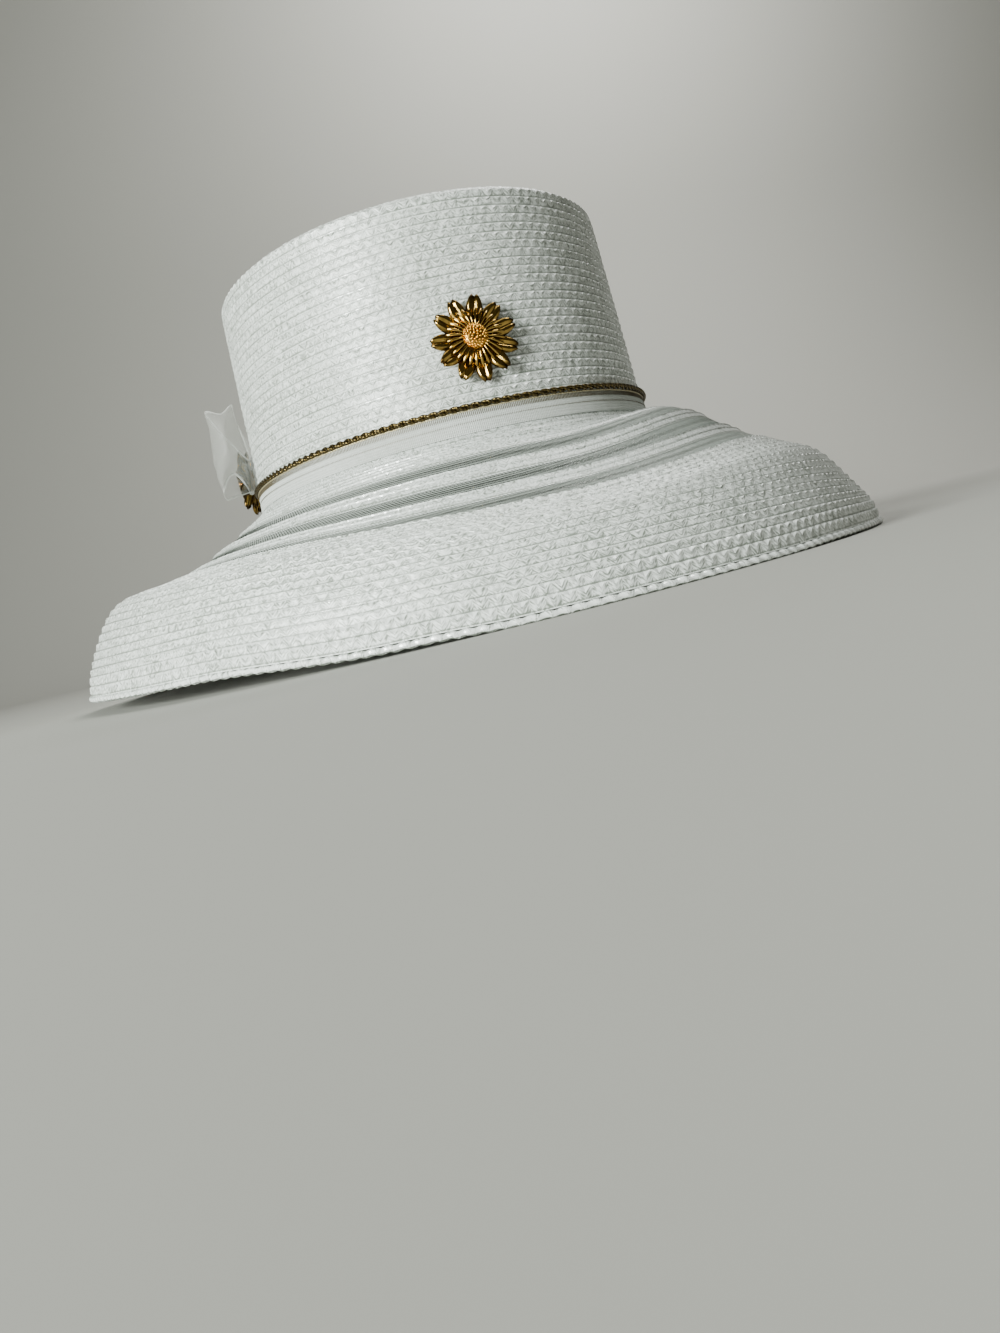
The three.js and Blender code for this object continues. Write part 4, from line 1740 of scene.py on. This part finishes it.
@dataclass(frozen=True)
class Daisy:
    """A gold daisy: notched and grooved petals, slender florets and a grained eye."""

    form: HatForm
    prefix: str
    azimuth: float
    height: float
    stand_off: float
    petals: int = 11
    first_petal: float = 11.0
    petal_root: float = 3.2
    petal_tip: float = 15.6
    petal_half_width: float = 3.2
    # A petal widens from this share of its width, to its whole width at a share of its length.
    petal_foot_share: float = 0.4
    petal_widest: float = 0.7
    petal_narrowing: float = 0.2
    petal_narrowing_start: float = 0.75
    petal_foot_height: float = 1.0
    petal_rise: float = 1.5
    petal_rise_power: float = 1.2
    petal_thickness: float = 0.55
    petal_tilts: tuple[float, ...] = (0.0, 3.0, -2.5, 1.5, -1.0, 4.0, -3.0)
    petal_sink: float = 0.2
    tip_notch: float = 0.8
    tip_notch_width: float = 0.15
    tip_corners: float = 3.0
    lobe_height: float = 0.95
    lobe_foot_share: float = 0.4
    lobe_fullness: float = 0.7
    flute_depth: float = 0.1
    flutes: int = 7
    tip_curl: float = 0.9
    tip_curl_start: float = 0.8
    side_curl: float = 0.75
    hub_radius: float = 5.4
    hub_depth: float = 0.9
    hub_middle: float = 0.65
    hub_bevel: float = 0.25
    florets: int = 28
    floret_tip: float = 10.3
    floret_root: float = 3.6
    floret_half_width: float = 0.5
    floret_height: float = 2.55
    # A floret widens by a share of its width, slopes down to its tip and arches between.
    floret_root_share: float = 0.7
    floret_widening: float = 0.75
    floret_tip_height: float = 0.35
    floret_slope: float = 0.95
    floret_half_depth: float = 0.62
    floret_arch: float = 0.45
    dish_radius: float = 7.9
    dish_top_radius: float = 3.0
    dish_depth: float = 0.8
    eye_radius: float = 4.5
    eye_height: float = 2.2
    eye_level: float = 0.75
    seed_stand_out: float = 0.25
    seed_stand_up: float = 0.3
    seeds: int = 96
    seed_radius: float = 0.44
    pin_length: float = 18.0
    pin_width: float = 1.8
    pin_thickness: float = 1.0
    pin_bevel: float = 0.42
    layer_gap: float = 0.3

    @property
    def petal_level(self) -> float:
        """Height of the petals' roots over the pin's back."""
        return self.pin_thickness + self.layer_gap

    @property
    def floret_level(self) -> float:
        """Height of the florets over the pin's back."""
        return self.petal_level + self.floret_height + self.layer_gap

    def petal_form(self, grid: np.ndarray) -> np.ndarray:
        """Shapes a grid into a petal along +X.

        Args:
            grid: Points from -1 to 1.

        Returns:
            The petal's points, in millimetres.
        """
        share, side = (grid[:, 0] + 1) / 2, grid[:, 1]
        notch = self.tip_notch * np.exp(-((side / self.tip_notch_width) ** 2))
        tip = self.petal_tip - notch - self.tip_corners * np.abs(side) ** 3
        x = self.petal_root + (tip - self.petal_root) * share
        foot, start = self.petal_foot_share, self.petal_narrowing_start
        wide = foot + (1 - foot) * np.sin(np.pi / 2 * np.minimum(share / self.petal_widest, 1.0))
        wide *= 1 - self.petal_narrowing * np.maximum(0, (share - start) / (1 - start)) ** 2
        y = side * self.petal_half_width * wide
        lobes = self.lobe_height * np.sin(np.pi * np.abs(side)) ** self.lobe_fullness
        foot, start = self.lobe_foot_share, self.tip_curl_start
        lobes *= foot + (1 - foot) * np.sin(np.pi * share) ** 0.5
        flutes = self.flute_depth * np.cos(self.flutes * np.pi * side)
        flutes *= np.minimum(1, 3 * share) * (1 - share)
        curl = self.tip_curl * np.maximum(0, (share - start) / (1 - start)) ** 2
        curl += self.side_curl * np.abs(side) ** 4
        rise = self.petal_rise * share**self.petal_rise_power
        z = self.petal_foot_height + rise + lobes + flutes - curl
        return np.stack([x, y, z], -1)

    def floret_form(self, ball: np.ndarray) -> np.ndarray:
        """Shapes a ball into a slender floret along +X.

        Args:
            ball: Points of a ball with radius 1, its poles along Z.

        Returns:
            The floret's points, in millimetres.
        """
        share = (ball[:, 2] + 1) / 2
        x = self.floret_root + (self.floret_tip - self.floret_root) * share
        wide = self.floret_half_width * (self.floret_root_share + self.floret_widening * share)
        z = self.floret_tip_height + self.floret_slope * (1 - share)
        z += self.floret_half_depth * ball[:, 0] + self.floret_arch * np.sin(np.pi * share)
        return np.stack([x, ball[:, 1] * wide, z], -1)

    def make_petals(self) -> bpy.types.Object:
        """Builds the ring of outer petals on their hub.

        Returns:
            The new object.
        """
        bpy.ops.object.select_all(action="DESELECT")
        bpy.ops.mesh.primitive_grid_add(x_subdivisions=12, y_subdivisions=16, size=2)
        petal = shaped(bpy.context.active_object, self.petal_form)
        modified(petal, "SOLIDIFY", thickness=self.petal_thickness * MM, offset=-1.0)
        modified(petal, "SUBSURF", levels=1, render_levels=1)
        petals = copied(petal, self.petals, self.first_petal, self.petal_tilts)
        bpy.ops.object.select_all(action="DESELECT")
        bpy.ops.mesh.primitive_cylinder_add(
            vertices=48,
            radius=self.hub_radius * MM,
            depth=self.hub_depth * MM,
            location=(0, 0, self.hub_middle * MM),
        )
        hub = bpy.context.active_object
        settle(hub)
        modified(hub, "BEVEL", width=self.hub_bevel * MM, segments=2)
        return join(f"{self.prefix}_petal_ring", [*petals, hub])

    def make_florets(self) -> bpy.types.Object:
        """Builds the ring of slender florets over a shallow dish.

        Returns:
            The new object.
        """
        bpy.ops.object.select_all(action="DESELECT")
        bpy.ops.mesh.primitive_uv_sphere_add(segments=12, ring_count=10, radius=1)
        floret = shaped(bpy.context.active_object, self.floret_form)
        florets = copied(floret, self.florets, 0.0)
        bpy.ops.object.select_all(action="DESELECT")
        bpy.ops.mesh.primitive_cone_add(
            vertices=64,
            radius1=self.dish_radius * MM,
            radius2=self.dish_top_radius * MM,
            depth=self.dish_depth * MM,
            location=(0, 0, self.dish_depth / 2 * MM),
        )
        dish = bpy.context.active_object
        settle(dish)
        return join(f"{self.prefix}_floret_ring", [*florets, dish])

    def make_eye(self) -> bpy.types.Object:
        """Builds the domed eye with its spiral of seeds.

        Returns:
            The new object.
        """
        bpy.ops.object.select_all(action="DESELECT")
        bpy.ops.mesh.primitive_uv_sphere_add(segments=36, ring_count=18, radius=1)
        dome = bpy.context.active_object
        bpy.ops.object.mode_set(mode="EDIT")
        bpy.ops.mesh.select_all(action="SELECT")
        bpy.ops.mesh.bisect(plane_co=(0, 0, 0), plane_no=(0, 0, 1), clear_inner=True, use_fill=True)
        bpy.ops.object.mode_set(mode="OBJECT")
        radius = self.eye_radius - self.seed_stand_out
        height = self.eye_height - self.seed_stand_up
        shaped(dome, lambda p: p * [radius, radius, height])
        pieces = [dome]
        golden_angle = math.pi * (3 - math.sqrt(5))
        for i in range(self.seeds):
            share = math.sqrt((i + 0.5) / self.seeds)
            turn = i * golden_angle
            out = radius * math.sin(share * math.pi / 2)
            up = height * math.cos(share * math.pi / 2)
            bpy.ops.object.select_all(action="DESELECT")
            bpy.ops.mesh.primitive_ico_sphere_add(
                subdivisions=2,
                radius=self.seed_radius * MM,
                location=(out * math.cos(turn) * MM, out * math.sin(turn) * MM, up * MM),
            )
            seed = bpy.context.active_object
            settle(seed)
            pieces.append(seed)
        return join(f"{self.prefix}_seeded_eye", pieces)

    def make_pin(self) -> bpy.types.Object:
        """Builds the pin behind the flower.

        Returns:
            The new object.
        """
        bpy.ops.object.select_all(action="DESELECT")
        bpy.ops.mesh.primitive_cube_add(
            size=1,
            location=(0, 0, self.pin_thickness / 2 * MM),
            scale=(self.pin_width * MM, self.pin_length * MM, self.pin_thickness * MM),
        )
        pin = bpy.context.active_object
        settle(pin)
        modified(pin, "BEVEL", width=self.pin_bevel * MM, segments=3)
        pin.name = pin.data.name = f"{self.prefix}_clasp_pin"
        return pin

    def build(self, dark: bpy.types.Material, pale: bpy.types.Material) -> None:
        """Builds and dresses the daisy.

        Args:
            dark: The petals' and florets' gold.
            pale: The eye's gold.
        """
        place = on_wall(self.form, self.azimuth, self.height, self.stand_off)
        petal_level = self.petal_level - self.petal_sink
        eye_level = self.floret_level + self.eye_level
        layers = [
            (self.make_pin(), 0.0, Slot.DARK_GOLD, dark, "pin"),
            (self.make_petals(), petal_level, Slot.DARK_GOLD, dark, "petals"),
            (self.make_florets(), self.floret_level, Slot.DARK_GOLD, dark, "florets"),
            (self.make_eye(), eye_level, Slot.PALE_GOLD, pale, "eye"),
        ]
        for piece, level, slot, material, node in layers:
            lift = np.eye(4)
            lift[2, 3] = level
            moved(piece, place @ lift)
            dress(piece, material, [f"{self.prefix}_{node}"], smooth=METAL_EDGE)


# Bow


@dataclass(frozen=True)
class Bow:
    """The bow of sheer cloth at the side: two full loops, gathered into a pleated knot."""

    form: HatForm
    azimuth: float = -110.0
    height: float = 86.0
    knot_half_width: float = 5.5
    knot_half_depth: float = 1.9
    knot_height: float = 17.0
    stand_off: float = 2.8
    cloth: float = 0.16
    pleats: int = 3
    pleat_depth: float = 1.5
    # The pleats open away from the knot until this far along, over this run.
    pleat_end: float = 30.0
    pleat_run: float = 22.0
    # Height of each crease, and its waves across the cloth and along it.
    creases: tuple[tuple[float, float, float], ...] = ((0.5, 1.3, 0.03), (0.22, 4.1, -0.05))
    # The cloth's corners are rounded from this far along, over this run.
    rounding: float = 9.0
    rounding_start: float = 22.0
    rounding_run: float = 24.0
    wall_gap: float = 2.3
    knot_pinch: float = 0.2
    knot_pleats: int = 14
    knot_pleat_depth: float = 0.09
    steps: int = 84
    columns: int = 30
    # Along the crown from the knot, out from the wall, height of the cloth, and its rise.
    route: tuple[tuple[float, float, float, float], ...] = (
        (6.8, 5.4, 14, 0), (14, 3.8, 23, 3), (28, 3.8, 36, 7), (40, 4.8, 36, 9),
        (47, 9.2, 26, 10), (42, 14.2, 34, 9), (28, 15.6, 36, 7), (14, 10.4, 23, 3),
    )

    def line(self) -> np.ndarray:
        """Draws the closed line of a loop.

        Returns:
            Its points, with along, out, tall and rise last.
        """
        knots = np.array(self.route)
        count = len(knots)
        place = np.arange(self.steps) / self.steps * count
        i = place.astype(int)
        return smooth_line(
            knots[(i - 1) % count],
            knots[i],
            knots[(i + 1) % count],
            knots[(i + 2) % count],
            (place - i)[:, None],
        )

    def loop(self, name: str, side: int, rng: np.random.Generator) -> bpy.types.Object:
        """Builds one loop.

        Args:
            name: The piece's name.
            side: 1 towards the front, -1 towards the back.
            rng: The source of its creases.

        Returns:
            The new object.
        """
        line = self.line()
        per_degree = float(np.linalg.norm(
            self.form.wall(np.float64(self.azimuth + 1), np.float64(self.height))
            - self.form.wall(np.float64(self.azimuth), np.float64(self.height))
        ))
        along, out, tall, rise = (line[:, k][:, None] for k in range(4))
        side_step = np.roll(line[:, :2], -1, 0) - np.roll(line[:, :2], 1, 0)
        side_step /= np.linalg.norm(side_step, axis=1, keepdims=True)
        across = np.linspace(-0.5, 0.5, self.columns)[None]
        gather = np.clip((self.pleat_end - along) / self.pleat_run, 0, 1)
        phase = rng.uniform(0, 2 * np.pi, 1 + len(self.creases))
        fold = self.pleat_depth * gather * np.sin(2 * np.pi * self.pleats * across + phase[0])
        for (crest, waves, lean), turn in zip(self.creases, phase[1:]):
            fold = fold + crest * np.sin(2 * np.pi * (waves * across + lean * along) + turn)
        rounding = self.rounding * np.abs(2 * across) ** 3
        rounding = rounding * np.clip((along - self.rounding_start) / self.rounding_run, 0, 1)
        along = along - rounding - side_step[:, 1][:, None] * fold
        offset = np.maximum(out + side_step[:, 0][:, None] * fold, self.wall_gap)
        height = self.height + rise + across * tall
        azimuth = self.azimuth + side * along / per_degree
        work = Work()
        numbers = work.add_points(self.form.wall(azimuth, height, offset))
        grid = np.concatenate([numbers, numbers[:1]])
        u = np.broadcast_to((np.arange(len(grid)) / self.steps)[:, None], grid.shape)
        v = np.broadcast_to(across + 0.5, grid.shape)
        work.add_grid(grid, u, v)
        piece = work.mesh(name)
        return modified(piece, "SOLIDIFY", thickness=self.cloth * MM, offset=0.0)

    def knot(self) -> bpy.types.Object:
        """Builds the knot, a pleated wrap of the same cloth.

        Returns:
            The new object.
        """
        bpy.ops.object.select_all(action="DESELECT")
        bpy.ops.mesh.primitive_cylinder_add(
            vertices=96, radius=1, depth=2, end_fill_type="NOTHING"
        )
        wrap = bpy.context.active_object
        bpy.ops.object.mode_set(mode="EDIT")
        bpy.ops.mesh.select_all(action="SELECT")
        bpy.ops.mesh.subdivide(number_cuts=1)
        bpy.ops.object.mode_set(mode="OBJECT")

        def form(p: np.ndarray) -> np.ndarray:
            """Shapes a tube into the pleated wrap.

            Args:
                p: Points of a tube with radius 1, from -1 to 1 along Z.

            Returns:
                The wrap's points, in millimetres.
            """
            angle = np.arctan2(p[:, 1], p[:, 0])
            pinch = 1 - self.knot_pinch * (1 - p[:, 2] ** 2)
            pleat = 1 - self.knot_pleat_depth * (1 + np.cos(self.knot_pleats * angle))
            r = np.hypot(p[:, 0], p[:, 1])
            x = self.knot_half_width * np.cos(angle) * r * pinch * pleat
            z = self.knot_half_depth * np.sin(angle) * r * pleat
            return np.stack([x, p[:, 2] * self.knot_height / 2, z], -1)

        shaped(wrap, form)
        modified(wrap, "SOLIDIFY", thickness=self.cloth * MM, offset=-1.0)
        wrap.name = wrap.data.name = "bow_knot_wrap"
        place = on_wall(self.form, self.azimuth, self.height, self.stand_off + self.knot_half_depth)
        return moved(wrap, place)

    def build(self, cloth: bpy.types.Material) -> None:
        """Builds and dresses the bow.

        Args:
            cloth: The sheer cloth's material.
        """
        rng = np.random.default_rng(7)
        for name, side in (("front", 1), ("back", -1)):
            piece = self.loop(f"organza_loop_{name}", side, rng)
            dress(piece, cloth, [f"bow_loop_{name}"], smooth=THREAD_EDGE)
        knot = dress(self.knot(), cloth, ["bow_knot"], smooth=THREAD_EDGE)


# Studio


@dataclass(frozen=True)
class SoftBox:
    """A soft round light, aimed at a point. Its places are in metres and its power in watts."""

    name: str
    azimuth: float
    elevation: float
    distance: float
    size: float
    power: float
    colour: tuple[float, float, float] = (1.0, 1.0, 1.0)
    aim: tuple[float, float, float] = (0.0, 0.0, 0.09)

    def build(self) -> None:
        """Sets up the light."""
        data = bpy.data.lights.new(self.name, "AREA")
        data.shape = "DISK"
        data.size = self.size
        data.energy = self.power
        data.color = self.colour
        lamp = bpy.data.objects.new(self.name, data)
        bpy.context.scene.collection.objects.link(lamp)
        a, e = math.radians(self.azimuth), math.radians(self.elevation)
        out = Vector((math.sin(a) * math.cos(e), -math.cos(a) * math.cos(e), math.sin(e)))
        lamp.location = Vector(self.aim) + out * self.distance
        lamp.rotation_mode = "QUATERNION"
        lamp.rotation_quaternion = (-out).to_track_quat("-Z", "Y")


@dataclass(frozen=True)
class Studio:
    """A plain pale sweep, soft lights and the camera."""

    azimuth: float = -10.0
    elevation: float = 1.6
    roll: float = -13.70
    distance: float = 0.4510
    pan: float = 0.0127
    tilt: float = -0.0564
    centre_height: float = 0.0015
    focal_pixels: float = 1000.0
    long_side: float = 1333.0
    floor_half: float = 3.0
    floor_back: float = 1.3
    curve: float = 0.9
    backdrop: float = 2.2
    floor_colour: tuple[float, float, float] = (0.36, 0.358, 0.33)
    floor_roughness: tuple[float, float] = (0.72, 0.86)
    lights: tuple[SoftBox, ...] = (
        SoftBox(
            "key", azimuth=-50, elevation=12, distance=1.5, size=0.6, power=53,
            colour=(0.945, 1.0, 0.945),
        ),
        SoftBox(
            "top", azimuth=-60, elevation=86, distance=1.3, size=0.7, power=2,
            colour=(0.97, 1.0, 0.98),
        ),
        SoftBox(
            "glint", azimuth=88, elevation=69, distance=1.6, size=0.5, power=10,
            colour=(1.0, 1.0, 0.97),
        ),
        SoftBox(
            "wash", azimuth=0, elevation=56, distance=1.8, size=0.9, power=40,
            colour=(1.0, 1.0, 0.97), aim=(0.95, 2.3, 0.4),
        ),
    )
    world_level: float = 0.07
    world_colour: tuple[float, float, float] = (1.0, 0.99, 0.78)

    def camera(self) -> None:
        """Sets up the camera at the photograph's angle, just above the floor."""
        a, e, r = (math.radians(v) for v in (self.azimuth, self.elevation, self.roll))
        back = Vector((math.sin(a) * math.cos(e), -math.cos(a) * math.cos(e), math.sin(e)))
        right = Vector((math.cos(a), math.sin(a), 0))
        up = right.cross(-back)
        right, up = right * math.cos(r) + up * math.sin(r), up * math.cos(r) - right * math.sin(r)
        forward = right * math.sin(self.pan) - back * math.cos(self.pan)
        right = right * math.cos(self.pan) + back * math.sin(self.pan)
        up, forward = (
            up * math.cos(self.tilt) - forward * math.sin(self.tilt),
            up * math.sin(self.tilt) + forward * math.cos(self.tilt),
        )
        data = bpy.data.cameras.new("camera")
        data.sensor_width = 36.0
        data.lens = self.focal_pixels / self.long_side * data.sensor_width
        data.clip_start, data.clip_end = 0.01, 50.0
        camera = bpy.data.objects.new("camera", data)
        bpy.context.scene.collection.objects.link(camera)
        turn = Matrix((right, up, -forward)).transposed()
        camera.rotation_mode = "QUATERNION"
        camera.rotation_quaternion = turn.to_quaternion()
        camera.location = back * self.distance + Vector((0, 0, self.centre_height))
        bpy.context.scene.camera = camera

    def sweep(self) -> None:
        """Builds the floor that curves up into the backdrop."""
        bpy.ops.object.select_all(action="DESELECT")
        bpy.ops.mesh.primitive_grid_add(x_subdivisions=8, y_subdivisions=96, size=2)
        floor = bpy.context.active_object

        def form(p: np.ndarray) -> np.ndarray:
            """Bends the grid up behind the hat.

            Args:
                p: Points from -1 to 1.

            Returns:
                The floor's points, in millimetres.
            """
            run = (p[:, 1] + 1) / 2 * (2 * self.floor_half + self.backdrop) - self.floor_half
            turn = np.clip((run - self.floor_back) / self.curve, 0, math.pi / 2)
            y = np.minimum(run, self.floor_back) + self.curve * np.sin(turn)
            rise = np.maximum(0, run - self.floor_back - self.curve * math.pi / 2)
            z = self.curve * (1 - np.cos(turn)) + rise
            return np.stack([p[:, 0] * self.floor_half, y, z], -1) / MM

        shaped(floor, form)
        floor.name = floor.data.name = "sweep"
        material, n, shader = start_material("pale_sweep")
        place = n.add("TexCoord").outputs["Object"]
        noise = n.add("TexNoise", {"Vector": place, "Scale": 3.0, "Detail": 3.0}).outputs[0]
        rough = n.ramp(noise, 0.0, 1.0, *self.floor_roughness)
        material.node_tree.links.new(rough, shader.inputs["Roughness"])
        shader.inputs["Base Color"].default_value = (*self.floor_colour, 1.0)
        floor.data.materials.append(material)
        smooth_by_angle(floor, 60)

    def build(self) -> None:
        """Sets up the floor, the light and the camera."""
        self.sweep()
        for light in self.lights:
            light.build()
        world = bpy.data.worlds.new("studio")
        world.use_nodes = True
        ground = world.node_tree.nodes["Background"]
        ground.inputs["Color"].default_value = (*self.world_colour, 1.0)
        ground.inputs["Strength"].default_value = self.world_level
        bpy.context.scene.world = world
        self.camera()


def main() -> None:
    """Builds the hat over its frame, part by part."""
    logging.basicConfig(level=logging.INFO, format="%(name)s: %(message)s")
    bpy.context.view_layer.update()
    form = HatForm()
    workshop = Workshop()
    braid = BraidFinish().material(workshop)
    # The collar's and strips' braid is the same straw, with its bright tone lowered as painted
    # shade and stronger painted shade in the dip under each row.
    ridges = BraidFinish(
        name="ridged_braid_painted_shade", bright=(0.74, 0.77, 0.75), lens=0.0, groove_shade=0.8, mottle=0.1
    ).material(workshop)
    # The net's threads are given a dark grey as painted shade, for the shade seen through the net.
    net = ThreadFinish(
        "sheer_net_painted_shade",
        bright=(0.40, 0.43, 0.40),
        dark=(0.22, 0.24, 0.22),
        metallic=0.0,
        roughness=0.3,
        twist=3.0,
    ).material()
    ribbon = ThreadFinish(
        "ribbon_grosgrain",
        bright=(0.60, 0.62, 0.60),
        dark=(0.46, 0.48, 0.45),
        metallic=0.0,
        roughness=0.42,
        twist=0.0,
    ).material()
    # Dark as painted shade: the bars stand for the shaded gaps of the stitching.
    stitch = ThreadFinish(
        "ladder_stitch_painted_shade",
        bright=(0.16, 0.13, 0.08),
        dark=(0.08, 0.065, 0.04),
        metallic=0.2,
        roughness=0.5,
        twist=4.0,
    ).material()
    edging = ThreadFinish(
        "edging_thread",
        bright=(0.72, 0.64, 0.42),
        dark=(0.5, 0.42, 0.24),
        metallic=0.5,
        roughness=0.35,
        twist=480.0,
    ).material()
    gold_thread = ThreadFinish(
        "gold_cord",
        bright=(0.17, 0.12, 0.04),
        dark=(0.018, 0.013, 0.006),
        metallic=0.85,
        roughness=0.26,
        twist=480.0,
    ).material()
    # Its rims and tips darken as a painted dark reflection.
    dark_gold = PlateFinish(
        "bronze_gold", bright=(0.55, 0.35, 0.09), tarnish_and_reflection_colour=(0.06, 0.033, 0.009), polish=0.1
    ).material(workshop)
    pale_gold = PlateFinish(
        "rosy_gold",
        bright=(0.80, 0.45, 0.085),
        tarnish_and_reflection_colour=(0.36, 0.17, 0.03),
        polish=0.16,
        rim=0.0,
        patches=620.0,
    ).material(workshop)
    organza = OrganzaFinish().material()
    Crown(form).build(braid)
    HatBand(form).build(ribbon, stitch, edging, gold_thread)
    Brim(form).build(braid, ridges, net)
    brooch = Daisy(form, "brooch", azimuth=0.0, height=95.0, stand_off=0.3)
    brooch.build(dark_gold, pale_gold)
    Bow(form).build(organza)
    side_daisy = Daisy(form, "side", azimuth=-110.0, height=84.0, stand_off=6.9)
    side_daisy.build(dark_gold, pale_gold)
    Studio().build()


if __name__ == "__main__":
    main()
